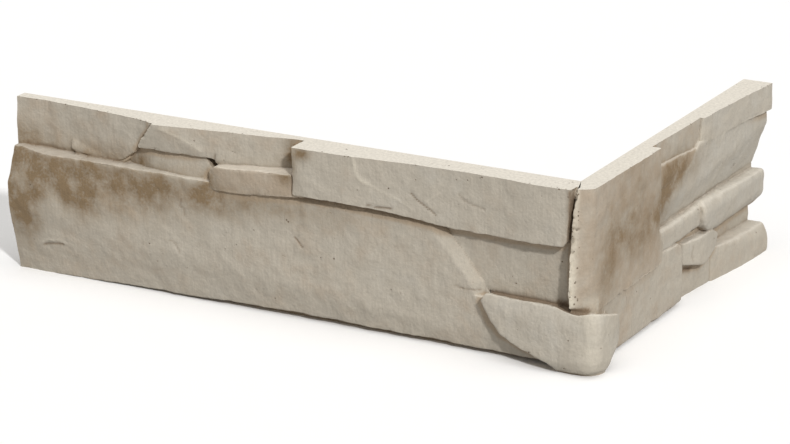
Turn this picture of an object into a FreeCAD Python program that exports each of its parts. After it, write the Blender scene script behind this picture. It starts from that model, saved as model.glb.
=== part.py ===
import FreeCAD, Part
import os
import re
import Sketcher

# A cast stone cladding corner for an outside wall corner: one solid piece.
# Its flat backs stand on the planes x = 0 and y = 0, its bed is the plane z = 0,
# and the origin is the wall's arris at the bed. The long leg runs along -X and
# faces -Y, the short leg runs along +Y and faces +X.
#
# Every stone of the relief is described on its own leg by three measures:
# along, the way from the wall's arris; depth, the thickness from the back;
# and level, the height over the bed.

NODE = "cladding_corner"

# Every size is in millimetres.
SIZES = {
    # The whole piece
    "long_leg": 346,
    "short_leg": 214,
    "height": 100,
    "backing": 5,
    "relief_limit": 30,
    # How far a cutting outline passes the piece, and a set-back stone its neighbour
    "spare": 6,
    "tuck": 8,
    # Worn arris of the stones
    "wear": 1.6,
    # Thin slab, top of the long leg at its end
    "ledge": 72,
    "slab_foot_end": 276,
    "slab_head_end": 250,
    "slab_peak_depth": 18.2,
    "slab_bend": 268,
    "slab_bend_depth": 13.2,
    "slab_waist": 290,
    "slab_waist_depth": 8.4,
    "slab_hollow": 318,
    "slab_hollow_depth": 5.8,
    "slab_end_depth": 7.8,
    # Wedge stone beside it
    "wedge_foot": 84,
    "wedge_near": 150,
    "wedge_near_depth": 5.4,
    "wedge_hollow": 175,
    "wedge_hollow_depth": 6.6,
    "wedge_middle": 210,
    "wedge_middle_depth": 11,
    "wedge_peak": 244,
    "wedge_peak_depth": 17.2,
    # Lens stone tucked below the wedge stone
    "lens_near": 215,
    "lens_shoulder": 7,
    "lens_shoulder_level": 78,
    "lens_foot_depth": 12.8,
    "lens_head_depth": 8.5,
    # Small brick
    "brick_near": 155,
    "brick_far": 214.5,
    "brick_near_foot": 71.5,
    "brick_far_foot": 67,
    "brick_near_head": 83.8,
    "brick_far_head": 81.5,
    "brick_depth": 18,
    # Long block, top of the long leg at the corner
    "crack_lean": 2.2,
    "block_far": 161,
    "block_foot": 69.5,
    "block_sag": 50,
    "block_sag_foot": 67.8,
    "block_rise": 97,
    "block_rise_foot": 70.7,
    "block_shelf": 125,
    "block_shelf_foot": 73,
    "block_far_depth": 20.5,
    "block_shelf_depth": 19.2,
    "block_rise_depth": 16.8,
    "block_waist": 55,
    "block_waist_depth": 15.2,
    "block_swell": 20,
    "block_swell_depth": 17.6,
    "block_round": 5,
    "block_round_depth": 11,
    # Great face, the large lower stone
    "great_near": 6,
    "great_near_depth": 13,
    "great_foot": 3,
    "great_level_end": 300,
    "great_step": 30,
    "scarp_foot": 49,
    "scarp_low": 51,
    "scarp_low_level": 40,
    "scarp_high": 62,
    "scarp_high_level": 53,
    "scarp_head": 74,
    "scarp_head_level": 66,
    "great_slope_depth": 14.4,
    "great_slope": 120,
    "great_middle": 210,
    "great_middle_depth": 16.8,
    "great_swell": 290,
    "great_swell_depth": 18,
    "great_far": 335,
    "great_far_depth": 20.5,
    "great_end_depth": 19.6,
    "great_end_level": 57,
    "great_bed_depth": 10.5,
    "great_belly_foot": 20,
    "great_belly_foot_depth": 16,
    "great_belly": 46,
    "great_belly_depth": 20.5,
    # Low field between the great face, the long block and the corner
    "field_far": 85,
    "field_near": 5,
    "field_foot": 26,
    "field_depth": 8.5,
    # Corner rock at the foot of the corner
    "rock_far": 48,
    "rock_far_level": 22.5,
    "rock_low": 27,
    "rock_low_level": 12,
    "rock_toe": 4,
    "rock_toe_level": 3.5,
    "rock_side": 21,
    "rock_side_foot": 18.5,
    "rock_side_level": 22,
    "rock_shoulder": 18,
    "rock_shoulder_level": 36,
    "rock_head": 37.6,
    "rock_brow": 32.8,
    "rock_head_depth": 19.2,
    "rock_depth": 21,
    "rock_joint_level": 33.2,
    "rock_wrap": 3.4,
    "rock_wrap_level": 29.8,
    "rock_round": 6,
    "rock_sole_depth": 13,
    "rock_sole_bevel": 18,
    "rock_chin": 4,
    # Corner post over it
    "post_back": 2.3,
    "post_head_back": 3.8,
    "post_tip": 19.5,
    "post_tip_level": 38,
    "post_top_tip": 13.6,
    "post_foot": 33.3,
    "post_arris": 8,
    "post_arris_depth": 11.4,
    "post_far": 71.5,
    "post_far_depth": 13.5,
    "post_toe": 77,
    "post_toe_depth": 14.5,
    "post_toe_level": 54,
    # Back strip at the top of the short leg
    "strip_depth": 8.6,
    "strip_near_depth": 7.2,
    "strip_middle": 105,
    "strip_foot": 82,
    # Far cap at the end of the strip
    "cap_near": 134,
    "cap_near_depth": 11.4,
    "cap_foot": 85,
    "cap_middle": 170,
    "cap_middle_depth": 13.4,
    "cap_far_depth": 17.8,
    # Ledge chip below the strip
    "chip_head": 87,
    "chip_foot": 74.5,
    "chip_corner": 114,
    "chip_depth": 10.4,
    # Sloping face
    "slope_near": 65,
    "slope_foot": 51.5,
    "slope_foot_depth": 6.4,
    "slope_brow": 78,
    "slope_brow_depth": 15.2,
    "slope_head_depth": 13.8,
    "slope_near_depth": 9.4,
    "slope_middle": 131,
    "slope_middle_depth": 10.8,
    # Rounded bar below it
    "bar_far": 137,
    "bar_foot": 37.5,
    "bar_head": 50.5,
    "bar_depth": 11.4,
    "bar_round": 3.2,
    # Thick bar beside it
    "thick_near": 130,
    "thick_foot": 25,
    "thick_low": 160,
    "thick_chin": 33,
    "thick_chin_depth": 12.6,
    "thick_depth": 14.4,
    "thick_head": 51.5,
    "thick_far_head": 48.5,
    "thick_nose": 43,
    "thick_nose_run": 9,
    # Grooves and hollows of the short leg
    "groove_foot": 31,
    "groove_head": 56,
    "groove_depth": 6.4,
    "hollow_near": 100,
    "hollow_far": 156,
    "hollow_head": 36,
    "hollow_depth": 6.2,
    # Smooth foot stone under the post
    "smooth_near": 6,
    "smooth_far": 105,
    "smooth_head": 34.5,
    "smooth_near_depth": 10.6,
    "smooth_far_depth": 12.2,
    "smooth_lift": 2.2,
    # Small block
    "small_near": 112,
    "small_far": 154,
    "small_foot": 15.5,
    "small_head": 33.5,
    "small_depth": 13.2,
    "small_cant": 5,
    # Far foot stone
    "foot_near": 150,
    "foot_near_head": 19,
    "foot_far_head": 16,
    "foot_near_depth": 12.3,
    "foot_far_depth": 17.6,
    "foot_cheek": 11,
}

X = FreeCAD.Vector(1, 0, 0)
Y = FreeCAD.Vector(0, 1, 0)
Z = FreeCAD.Vector(0, 0, 1)

# The directions of along and depth on each leg
LONG = (-X, -Y)
SHORT = (Y, X)

# Corners that several outlines share
BEHIND = "-spare"
UNDER = "-spare"
OVER = "height + spare"
LONG_END = "long_leg + spare"
SHORT_END = "short_leg + spare"


def cells(expression):
    """Point every size that an expression names at its cell in the sheet."""
    return re.sub(r"[a-z][a-z_]*", r"Sizes.\g<0>", expression)


def add_sheet(doc):
    """Write every size to the sheet, under its own name."""
    sheet = doc.addObject("Spreadsheet::Sheet", "Sizes")
    for row, (name, value) in enumerate(SIZES.items(), start=1):
        sheet.set(f"A{row}", name)
        sheet.set(f"B{row}", str(value))
        sheet.setAlias(f"B{row}", name)
    doc.recompute()


def view_rotation(leg, view):
    """Turn a sketch so that its axes are the two measures that a view shows."""
    along, depth = leg
    first, second = {"face": (along, Z), "top": (along, depth), "end": (depth, Z)}[view]
    return FreeCAD.Rotation(first, second, first.cross(second))


def add_outline(doc, name, rotation, corners):
    """Sketch a closed outline whose corners are given as pairs of expressions."""
    sketch = doc.addObject("Sketcher::SketchObject", name)
    sketch.Placement = FreeCAD.Placement(FreeCAD.Vector(), rotation)
    count = len(corners)
    start = [FreeCAD.Rotation(Z, 360 * index / count).multVec(100 * X) for index in range(count)]
    for index in range(count):
        sketch.addGeometry(Part.LineSegment(start[index], start[(index + 1) % count]))
    for index in range(count):
        sketch.addConstraint(Sketcher.Constraint("Coincident", index, 2, (index + 1) % count, 1))
    for index, corner in enumerate(corners):
        for kind, expression, value in zip(("DistanceX", "DistanceY"), corner, start[index]):
            number = sketch.addConstraint(Sketcher.Constraint(kind, -1, 1, index, 1, value))
            sketch.setExpression(f"Constraints[{number}]", cells(expression))
    return sketch


def add_prism(doc, sketch, forward, backward):
    """Carry an outline both ways along its normal."""
    prism = doc.addObject("Part::Extrusion", sketch.Name + "_prism")
    prism.Base = sketch
    prism.DirMode = "Normal"
    prism.Solid = True
    prism.setExpression("LengthFwd", cells(forward))
    prism.setExpression("LengthRev", cells(backward))
    return prism


def add_stone(doc, name, leg, **views):
    """Make one stone: what its face, top and end outlines have in common."""
    prisms = []
    for view, corners in views.items():
        sketch = add_outline(doc, f"{name}_{view}", view_rotation(leg, view), corners)
        prisms.append(add_prism(doc, sketch, LONG_END, LONG_END))
    stone = doc.addObject("Part::MultiCommon", name)
    stone.Shapes = prisms
    return stone


def window(near, far, foot, head):
    """Face outline of a stone with level joints and upright ends."""
    return [(near, foot), (far, foot), (far, head), (near, head)]


def band(near, near_depth, far, far_depth, between=()):
    """Top outline of a stone whose two ends have a worn arris."""
    return [
        (near, BEHIND),
        (near, f"{near_depth} - wear"),
        (f"{near} + wear", near_depth),
        *between,
        (f"{far} - wear", far_depth),
        (far, f"{far_depth} - wear"),
        (far, BEHIND),
    ]


def lip(foot, head, depth):
    """End outline of an upright stone with a worn arris at its foot and head."""
    return [
        (BEHIND, foot),
        (f"{depth} - wear", foot),
        (depth, f"{foot} + wear"),
        (depth, f"{head} - wear"),
        (f"{depth} - wear", head),
        (BEHIND, head),
    ]


def leaning_joint(level):
    """Place along the long leg of the joint between slab and wedge at a level."""
    run = "(slab_foot_end - slab_head_end)"
    return f"slab_foot_end - {run} * ({level} - ledge) / (height - ledge)"


def add_thin_slab(doc):
    """Thin slab at the top, which swells towards its leaning end."""
    face = [
        ("slab_foot_end", "ledge - tuck"),
        ("slab_foot_end", "ledge"),
        ("slab_head_end", "height"),
        ("slab_head_end", OVER),
        (LONG_END, OVER),
        (LONG_END, "ledge - tuck"),
    ]
    top = [
        ("slab_head_end - spare", BEHIND),
        ("slab_head_end - spare", "slab_peak_depth"),
        ("slab_head_end", "slab_peak_depth"),
        ("slab_bend", "slab_bend_depth"),
        ("slab_waist", "slab_waist_depth"),
        ("slab_hollow", "slab_hollow_depth"),
        (LONG_END, "slab_end_depth"),
        (LONG_END, BEHIND),
    ]
    return add_stone(doc, "thin_slab", LONG, face=face, top=top)


def add_wedge_stone(doc):
    """Stone that falls away from the leaning joint to the long block."""
    face = [
        ("wedge_near", "wedge_foot - tuck"),
        ("lens_near - wear", "wedge_foot - tuck"),
        ("lens_near - wear", "wedge_foot"),
        (leaning_joint("wedge_foot"), "wedge_foot"),
        ("slab_head_end", "height"),
        ("slab_head_end", OVER),
        ("wedge_near", OVER),
    ]
    top = [
        ("wedge_near", BEHIND),
        ("wedge_near", "wedge_near_depth"),
        ("wedge_hollow", "wedge_hollow_depth"),
        ("wedge_middle", "wedge_middle_depth"),
        ("wedge_peak", "wedge_peak_depth"),
        ("slab_foot_end", "wedge_peak_depth"),
        ("slab_foot_end", BEHIND),
    ]
    return add_stone(doc, "wedge_stone", LONG, face=face, top=top)


def add_lens_stone(doc):
    """Small stone that leans out from below the wedge stone to the ledge."""
    face = [
        ("lens_near", "ledge - tuck"),
        ("slab_foot_end + wear", "ledge - tuck"),
        ("slab_foot_end + wear", "ledge"),
        (leaning_joint("wedge_foot"), "wedge_foot + wear"),
        ("lens_near + lens_shoulder", "wedge_foot + wear"),
        ("lens_near", "lens_shoulder_level"),
    ]
    end = [
        (BEHIND, "ledge - tuck"),
        ("lens_foot_depth", "ledge - tuck"),
        ("lens_foot_depth", "ledge + wear"),
        ("lens_head_depth", "wedge_foot"),
        ("lens_head_depth", "wedge_foot + spare"),
        (BEHIND, "wedge_foot + spare"),
    ]
    return add_stone(doc, "lens_stone", LONG, face=face, end=end)


def add_small_brick(doc):
    """Brick-like stone let into the head of the great face."""
    face = [
        ("brick_near", "brick_near_foot"),
        ("brick_far - wear", "brick_far_foot"),
        ("brick_far", "brick_far_foot + wear"),
        ("brick_far - wear", "brick_far_head"),
        ("brick_near", "brick_near_head"),
    ]
    end = [
        (BEHIND, "brick_far_foot - tuck"),
        ("brick_depth", "brick_far_foot - tuck"),
        ("brick_depth", "brick_far_head - wear / 2"),
        ("brick_depth - wear", "brick_near_head"),
        (BEHIND, "brick_near_head"),
    ]
    return add_stone(doc, "small_brick", LONG, face=face, end=end)


def add_long_block(doc):
    """Thick block at the top that ends at the crack beside the corner post."""
    face = [
        ("wear", "block_foot"),
        ("block_sag", "block_sag_foot"),
        ("block_rise", "block_rise_foot"),
        ("block_shelf", "block_shelf_foot"),
        ("block_far", "block_shelf_foot"),
        ("block_far", OVER),
        ("-crack_lean", OVER),
        ("-crack_lean", "height"),
        ("0", "block_foot + wear"),
    ]
    top = [
        ("-crack_lean", BEHIND),
        ("-crack_lean", "block_round_depth"),
        ("block_round - crack_lean", "block_swell_depth - wear / 2"),
        ("block_swell", "block_swell_depth"),
        ("block_waist", "block_waist_depth"),
        ("block_rise", "block_rise_depth"),
        ("block_shelf", "block_shelf_depth"),
        ("block_far - wear", "block_far_depth"),
        ("block_far", "block_far_depth - wear"),
        ("block_far", BEHIND),
    ]
    return add_stone(doc, "long_block", LONG, face=face, top=top)


def add_great_face(doc):
    """Large lower stone with a bellied face, cut off by a scarp near the corner."""
    face = [
        ("great_near", "great_foot"),
        ("great_near", "great_step"),
        ("scarp_foot", "great_step"),
        ("scarp_low", "scarp_low_level"),
        ("scarp_high", "scarp_high_level"),
        ("scarp_head", "scarp_head_level"),
        ("scarp_head", "ledge + wear"),
        ("long_leg - spare", "ledge + wear"),
        ("long_leg", "great_end_level"),
        (LONG_END, "great_end_level"),
        (LONG_END, UNDER),
        ("great_level_end", UNDER),
        ("great_level_end", "0"),
        ("block_rise", "great_foot"),
    ]
    end = [
        (BEHIND, UNDER),
        ("great_bed_depth", UNDER),
        ("great_bed_depth", "0"),
        ("great_belly_foot_depth", "great_belly_foot"),
        ("great_belly_depth", "great_belly"),
        ("great_belly_depth", "great_end_level"),
        ("slab_peak_depth", "ledge"),
        ("slab_peak_depth - wear", "ledge + wear"),
        (BEHIND, "ledge + wear"),
    ]
    top = [
        ("great_near", BEHIND),
        ("great_near", "great_near_depth"),
        ("scarp_head", "great_near_depth"),
        ("great_slope", "great_slope_depth"),
        ("great_middle", "great_middle_depth"),
        ("great_swell", "great_swell_depth"),
        ("great_far", "great_far_depth"),
        ("long_leg", "great_end_depth"),
        (LONG_END, "great_end_depth"),
        (LONG_END, BEHIND),
    ]
    return add_stone(doc, "great_face", LONG, face=face, end=end, top=top)


def add_low_field(doc):
    """Set-back surface that shows between the scarp and the corner post."""
    face = window("-field_near", "field_far", "field_foot", "block_sag_foot + wear")
    top = window("-field_near", "field_far", BEHIND, "field_depth")
    return add_stone(doc, "low_field", LONG, face=face, top=top)


def add_corner_rock(doc):
    """Rock at the foot that turns round the corner, with a head that falls to the wall."""
    face = [
        ("-rock_side_foot", UNDER),
        ("-rock_side_foot", "0"),
        ("-rock_side", "rock_side_level"),
        ("-rock_side", "rock_shoulder_level - wear"),
        ("-rock_shoulder", "rock_shoulder_level"),
        ("0", "rock_head"),
        ("rock_far", "rock_head"),
        ("rock_far", "rock_brow"),
        ("rock_far - spare", "rock_far_level"),
        ("rock_low", "rock_low_level"),
        ("rock_toe", "rock_toe_level"),
        ("rock_toe - spare", UNDER),
    ]
    top = [
        ("rock_far", BEHIND),
        ("rock_far", "rock_depth - rock_round"),
        ("rock_far - rock_round", "rock_depth - wear"),
        ("rock_low", "rock_depth"),
        ("rock_round - rock_side", "rock_depth"),
        ("rock_round / 3 - rock_side", "rock_depth - rock_round / 3"),
        ("-rock_side", "rock_depth - rock_round"),
        ("-rock_side", "wear - rock_wrap"),
        ("wear - rock_side", "-rock_wrap"),
        ("0", "-rock_wrap"),
    ]
    end = [
        ("backing", UNDER),
        ("rock_sole_depth", UNDER),
        ("rock_sole_depth", "0"),
        ("rock_sole_bevel", "rock_chin / 3"),
        ("rock_depth - wear / 2", "rock_chin"),
        ("rock_depth", "rock_chin * 2"),
        ("rock_depth", "rock_brow"),
        ("rock_head_depth", "rock_head"),
        ("field_depth", "rock_joint_level"),
        ("-rock_wrap", "rock_wrap_level"),
        ("-rock_wrap", "rock_side_level"),
        ("backing", "rock_toe_level"),
    ]
    return add_stone(doc, "corner_rock", LONG, face=face, top=top, end=end)


def add_corner_post(doc):
    """Upright stone on the short leg whose canted end stands past the corner."""
    face = [
        ("-post_tip", "post_tip_level"),
        ("-post_arris", "post_foot + wear / 3"),
        ("post_far - spare", "post_foot"),
        ("post_toe", "post_foot + wear / 2"),
        ("post_toe", "post_toe_level - spare"),
        ("post_far", "post_toe_level"),
        ("post_far", OVER),
        ("-post_top_tip", OVER),
        ("-post_top_tip", "height"),
    ]
    top = [
        ("-post_tip", "post_back"),
        ("-post_arris", "post_arris_depth"),
        ("0", "post_arris_depth + wear / 2"),
        ("post_far", "post_far_depth"),
        ("post_toe - wear", "post_toe_depth"),
        ("post_toe", "post_far_depth"),
        ("post_toe", "post_back"),
    ]
    end = [
        ("post_back", "post_foot - spare"),
        ("post_toe_depth + spare", "post_foot - spare"),
        ("post_toe_depth + spare", OVER),
        ("post_head_back", OVER),
        ("post_head_back", "height"),
        ("post_back", "block_foot"),
    ]
    return add_stone(doc, "corner_post", SHORT, face=face, top=top, end=end)


def add_back_strip(doc):
    """Thin strip between the corner post and the far cap."""
    face = window("post_far - tuck", "cap_near + tuck", "strip_foot", OVER)
    top = [
        ("post_far - tuck", BEHIND),
        ("post_far - tuck", "strip_near_depth"),
        ("strip_middle", "strip_depth"),
        ("cap_near + tuck", "strip_depth"),
        ("cap_near + tuck", BEHIND),
    ]
    return add_stone(doc, "back_strip", SHORT, face=face, top=top)


def add_far_cap(doc):
    """Thick stone at the head of the short leg's end."""
    middle = [("cap_middle", "cap_middle_depth")]
    far_depth = "cap_far_depth"
    top = band("cap_near", "cap_near_depth", SHORT_END, far_depth, middle)
    end = lip("cap_foot", OVER, "cap_far_depth + wear / 2")
    return add_stone(doc, "far_cap", SHORT, top=top, end=end)


def add_ledge_chip(doc):
    """Small ledge below the strip, which dies out at the far cap."""
    face = [
        ("post_far - tuck", "chip_foot"),
        ("chip_corner", "chip_foot"),
        ("cap_near", "cap_foot - spare"),
        ("cap_near + wear", "cap_foot"),
        ("post_far - tuck", "chip_head"),
    ]
    end = lip("chip_foot", "chip_head", "chip_depth")
    return add_stone(doc, "ledge_chip", SHORT, face=face, end=end)


def add_sloping_face(doc):
    """Broad face that slopes back to the groove over the bars."""
    face = [
        ("slope_near", "slope_foot"),
        (SHORT_END, "slope_foot"),
        (SHORT_END, "cap_foot + wear"),
        ("cap_near - spare", "cap_foot + wear"),
        ("chip_corner", "chip_foot + wear"),
        ("slope_near", "chip_foot + wear"),
    ]
    end = [
        (BEHIND, "slope_foot"),
        ("slope_foot_depth", "slope_foot"),
        ("slope_brow_depth", "slope_brow"),
        ("slope_head_depth", "cap_foot + wear"),
        (BEHIND, "cap_foot + wear"),
    ]
    top = [
        ("slope_near", BEHIND),
        ("slope_near", "slope_near_depth"),
        ("slope_middle", "slope_middle_depth"),
        ("short_leg", "slope_brow_depth"),
        (SHORT_END, "slope_brow_depth"),
        (SHORT_END, BEHIND),
    ]
    return add_stone(doc, "sloping_face", SHORT, face=face, end=end, top=top)


def add_rounded_bar(doc):
    """Long bar with a rounded section."""
    top = band("slope_near", "bar_depth", "bar_far", "bar_depth")
    end = [
        (BEHIND, "bar_foot"),
        ("bar_depth - bar_round", "bar_foot"),
        ("bar_depth - bar_round / 4", "bar_foot + bar_round * 3 / 4"),
        ("bar_depth", "(bar_foot + bar_head) / 2"),
        ("bar_depth - bar_round / 4", "bar_head - bar_round * 3 / 4"),
        ("bar_depth - bar_round", "bar_head"),
        (BEHIND, "bar_head"),
    ]
    return add_stone(doc, "rounded_bar", SHORT, top=top, end=end)


def add_thick_bar(doc):
    """Thick bar to the far end, with a blunt nose and an undercut foot."""
    face = [
        ("thick_near", "thick_nose"),
        ("thick_near + thick_nose_run / 2", "thick_chin + wear * 2"),
        ("thick_near + thick_nose_run * 2", "thick_chin - wear"),
        ("thick_low", "thick_foot"),
        (SHORT_END, "thick_foot"),
        (SHORT_END, "thick_far_head"),
        ("thick_near + wear", "thick_head"),
    ]
    end = [
        (BEHIND, "thick_foot"),
        ("backing", "thick_foot"),
        ("thick_chin_depth", "thick_chin"),
        ("thick_depth", "thick_far_head - wear"),
        ("thick_chin_depth", "thick_far_head + wear"),
        (BEHIND, "thick_head + wear"),
    ]
    nose = [("thick_near + thick_nose_run", "thick_depth")]
    top = band("thick_near", "thick_chin_depth - wear", SHORT_END, "thick_depth", nose)
    return add_stone(doc, "thick_bar", SHORT, face=face, end=end, top=top)


def add_groove_bed(doc):
    """Bottom of the grooves above and below the bars."""
    face = window("post_far - tuck", SHORT_END, "groove_foot", "groove_head")
    top = window("post_far - tuck", SHORT_END, BEHIND, "groove_depth")
    return add_stone(doc, "groove_bed", SHORT, face=face, top=top)


def add_hollow_bed(doc):
    """Bottom of the hollow below the small block."""
    face = window("hollow_near", "hollow_far", UNDER, "hollow_head")
    top = window("hollow_near", "hollow_far", BEHIND, "hollow_depth")
    return add_stone(doc, "hollow_bed", SHORT, face=face, top=top)


def add_smooth_foot(doc):
    """Smooth stone at the bed, under the corner post."""
    face = [
        ("-smooth_near", UNDER),
        ("smooth_far", UNDER),
        ("smooth_far", "smooth_head"),
        ("post_toe", "post_foot + wear * 2"),
        ("-smooth_near", "post_foot + wear * 2"),
    ]
    top = band("-smooth_near", "smooth_near_depth", "smooth_far", "smooth_far_depth")
    end = [
        (BEHIND, UNDER),
        ("backing", UNDER),
        ("backing", "0"),
        ("smooth_near_depth", "smooth_lift"),
        ("smooth_far_depth + wear", "smooth_lift + wear / 2"),
        ("smooth_far_depth + wear", "post_foot + spare"),
        (BEHIND, "post_foot + spare"),
    ]
    return add_stone(doc, "smooth_foot", SHORT, face=face, top=top, end=end)


def add_small_block(doc):
    """Small six-sided block over the hollow."""
    face = [
        ("small_near", "small_foot + small_cant"),
        ("(small_near + small_far) / 2", "small_foot"),
        ("small_far - small_cant / 2", "small_foot + small_cant"),
        ("small_far", "small_head - small_cant"),
        ("small_far - small_cant * 2", "small_head"),
        ("small_near", "small_head"),
    ]
    top = band("small_near", "small_depth", "small_far", "small_depth")
    end = lip("small_foot", "small_head", "small_depth")
    return add_stone(doc, "small_block", SHORT, face=face, top=top, end=end)


def add_far_foot(doc):
    """Stone at the bed of the short leg's end."""
    face = [
        ("foot_near", UNDER),
        (SHORT_END, UNDER),
        (SHORT_END, "foot_far_head"),
        ("foot_near", "foot_near_head"),
    ]
    top = band("foot_near", "foot_near_depth", SHORT_END, "foot_far_depth + wear / 2")
    end = [
        (BEHIND, UNDER),
        ("foot_far_depth - wear / 2", UNDER),
        ("foot_far_depth", "foot_cheek"),
        ("foot_far_depth - wear * 2", "foot_far_head"),
        ("foot_near_depth - wear", "foot_near_head"),
        (BEHIND, "foot_near_head"),
    ]
    return add_stone(doc, "far_foot", SHORT, face=face, top=top, end=end)


def corner_plan(thickness):
    """Plan of a wall corner of one thickness on both legs, in x and y."""
    return [
        ("-long_leg", "0"),
        ("-long_leg", f"-{thickness}"),
        (thickness, f"-{thickness}"),
        (thickness, "short_leg"),
        ("0", "short_leg"),
        ("0", "0"),
    ]


def add_plain_corner(doc, name, thickness):
    """Upright corner of even thickness from the bed to the head."""
    sketch = add_outline(doc, name + "_plan", FreeCAD.Rotation(), corner_plan(thickness))
    return add_prism(doc, sketch, "height", "0")


STONES = (
    add_thin_slab,
    add_wedge_stone,
    add_lens_stone,
    add_small_brick,
    add_long_block,
    add_great_face,
    add_low_field,
    add_corner_rock,
    add_corner_post,
    add_back_strip,
    add_far_cap,
    add_ledge_chip,
    add_sloping_face,
    add_rounded_bar,
    add_thick_bar,
    add_groove_bed,
    add_hollow_bed,
    add_smooth_foot,
    add_small_block,
    add_far_foot,
)


def add_cladding_corner(doc):
    """Join the backing and its stones, and trim them to the mould's box."""
    relief = doc.addObject("Part::MultiFuse", "relief")
    backing = add_plain_corner(doc, "backing_wall", "backing")
    relief.Shapes = [backing] + [add(doc) for add in STONES]
    mould = add_plain_corner(doc, "mould_box", "relief_limit")
    corner = doc.addObject("Part::MultiCommon", NODE)
    corner.Label = NODE
    corner.Refine = True
    corner.Shapes = [relief, mould]
    return corner


def check(doc, part):
    """Stop if any feature has failed or the part is not one sound solid."""
    for item in doc.Objects:
        if "Invalid" in item.State or "Error" in item.State:
            raise RuntimeError(f"{item.Name} failed: {item.State}")
    shape = part.Shape
    if shape.isNull() or not shape.isValid() or len(shape.Solids) != 1:
        raise RuntimeError(f"{part.Label} is not one sound solid")


def main():
    doc = FreeCAD.newDocument("cladding")
    add_sheet(doc)
    part = add_cladding_corner(doc)
    doc.recompute()
    check(doc, part)
    os.makedirs("parts", exist_ok=True)
    part.Shape.exportStep(f"parts/{part.Label}.step")
    box = part.Shape.BoundBox
    print(f"{part.Label}: {len(part.Shape.Faces)} faces, {part.Shape.Volume / 1000:.1f} cm3")
    print(f"x {box.XMin:.1f} to {box.XMax:.1f}, y {box.YMin:.1f} to {box.YMax:.1f}, "
          f"z {box.ZMin:.1f} to {box.ZMax:.1f}")


main()
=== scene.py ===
"""Looks of a cast stone cladding corner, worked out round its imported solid.

Shapes are worked out in millimetres and go into the mesh in metres.
"""

import logging
import math
from dataclasses import dataclass, field
from enum import Enum
from functools import cached_property

import bpy
import numpy as np
from mathutils import Matrix, Vector


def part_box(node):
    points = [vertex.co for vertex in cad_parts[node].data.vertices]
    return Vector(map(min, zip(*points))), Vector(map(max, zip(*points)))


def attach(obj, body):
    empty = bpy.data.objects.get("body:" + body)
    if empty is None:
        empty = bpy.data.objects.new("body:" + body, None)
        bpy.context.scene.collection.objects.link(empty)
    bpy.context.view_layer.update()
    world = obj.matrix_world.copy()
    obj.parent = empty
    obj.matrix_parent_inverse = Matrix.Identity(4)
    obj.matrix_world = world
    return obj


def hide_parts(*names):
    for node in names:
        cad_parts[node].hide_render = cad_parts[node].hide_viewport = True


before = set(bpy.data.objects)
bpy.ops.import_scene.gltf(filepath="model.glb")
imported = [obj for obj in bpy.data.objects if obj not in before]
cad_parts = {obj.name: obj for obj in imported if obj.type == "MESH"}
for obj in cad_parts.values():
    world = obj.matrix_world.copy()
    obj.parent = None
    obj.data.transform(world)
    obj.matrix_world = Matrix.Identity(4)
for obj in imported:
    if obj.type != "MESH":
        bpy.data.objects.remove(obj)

LOG = logging.getLogger("cladding")
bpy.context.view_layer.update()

NODE = "cladding_corner"
BODY = "root"
PIECE = "weathered_corner"

METRE = 0.001
LOW, HIGH = (np.array(corner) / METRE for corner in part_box(NODE))
LONG_END = -float(LOW[0])
SHORT_END = float(HIGH[1])
HEAD = float(HIGH[2])
ROCK_DEPTH = float(HIGH[0])

# How far a stone's outline runs past the piece where the mould cuts it off
SPARE = 8.0
OVER = HEAD + SPARE
UNDER = -SPARE
PAST_LONG = LONG_END + SPARE
PAST_SHORT = SHORT_END + SPARE

# Least length that a vector is divided by
TINY = 1e-6
# What lies less deep than this on a leg belongs to the other leg, or to the back
FACE_DEPTH = 2.0
# Direction of the key light, which also sets where shade is painted under overhangs
KEY_FROM = (1.12, -1.0, 1.03)

Pairs = tuple[tuple[float, float], ...]
Colour = tuple[float, float, float]


def smooth_step(low: float, high: float, value: np.ndarray) -> np.ndarray:
    """Ease a value from 0 at low to 1 at high: 3 s^2 - 2 s^3 of its clamped share s."""
    share = np.clip((value - low) / (high - low), 0, 1)
    return share * share * (3 - 2 * share)


def round_meet(distances: list[np.ndarray], radius: float) -> np.ndarray:
    """Meet several inside distances with a rounded edge.

    Nearer than the radius to its sides, the distance is the radius less the length of the
    vector of what each side's distance falls short of it; deeper in, it is the least one.

    Args:
        distances: Distance inside each side.
        radius: Radius of the edges between the sides.

    Returns:
        Distance inside all of them.
    """
    least = np.minimum.reduce(distances)
    if radius <= 0:
        return least
    short = np.sqrt(sum(np.maximum(radius - distance, 0) ** 2 for distance in distances))
    return np.where(least < radius, radius - short, least)


def path_distance(path: Pairs, along: np.ndarray, level: np.ndarray) -> np.ndarray:
    """Distance of places on a leg from an open path: the least one to its straight runs.

    Args:
        path: Corners of the path, as along and level.
        along: First measure of the places.
        level: Second measure of the places.

    Returns:
        Distance from the nearest run, as an array as long as the places.
    """
    corners = np.array(path)
    start, run = corners[:-1], np.diff(corners, axis=0)
    from_along = along[:, None] - start[:, 0]
    from_level = level[:, None] - start[:, 1]
    dot = from_along * run[:, 0] + from_level * run[:, 1]
    share = np.clip(dot / (run**2).sum(axis=1), 0, 1)
    return np.hypot(from_along - share * run[:, 0], from_level - share * run[:, 1]).min(axis=1)


def trim(grid: np.ndarray) -> np.ndarray:
    """Keep a grid between bed and head, and its rim in the planes of the mould.

    Args:
        grid: Points as stations by rows by three, changed in place.

    Returns:
        The same grid.
    """
    grid[..., 2] = np.clip(grid[..., 2], 0, HEAD)
    grid[:, 0, 2], grid[:, -1, 2] = 0, HEAD
    grid[0, :, 0], grid[-1, :, 1] = -LONG_END, SHORT_END
    return grid


def add_object(name: str, data: bpy.types.ID) -> bpy.types.Object:
    """Make an object of a mesh, lamp or camera and put it into the scene.

    Args:
        name: Name of the object.
        data: What the object shows.

    Returns:
        The object.
    """
    added = bpy.data.objects.new(name, data)
    bpy.context.scene.collection.objects.link(added)
    return added


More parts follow.
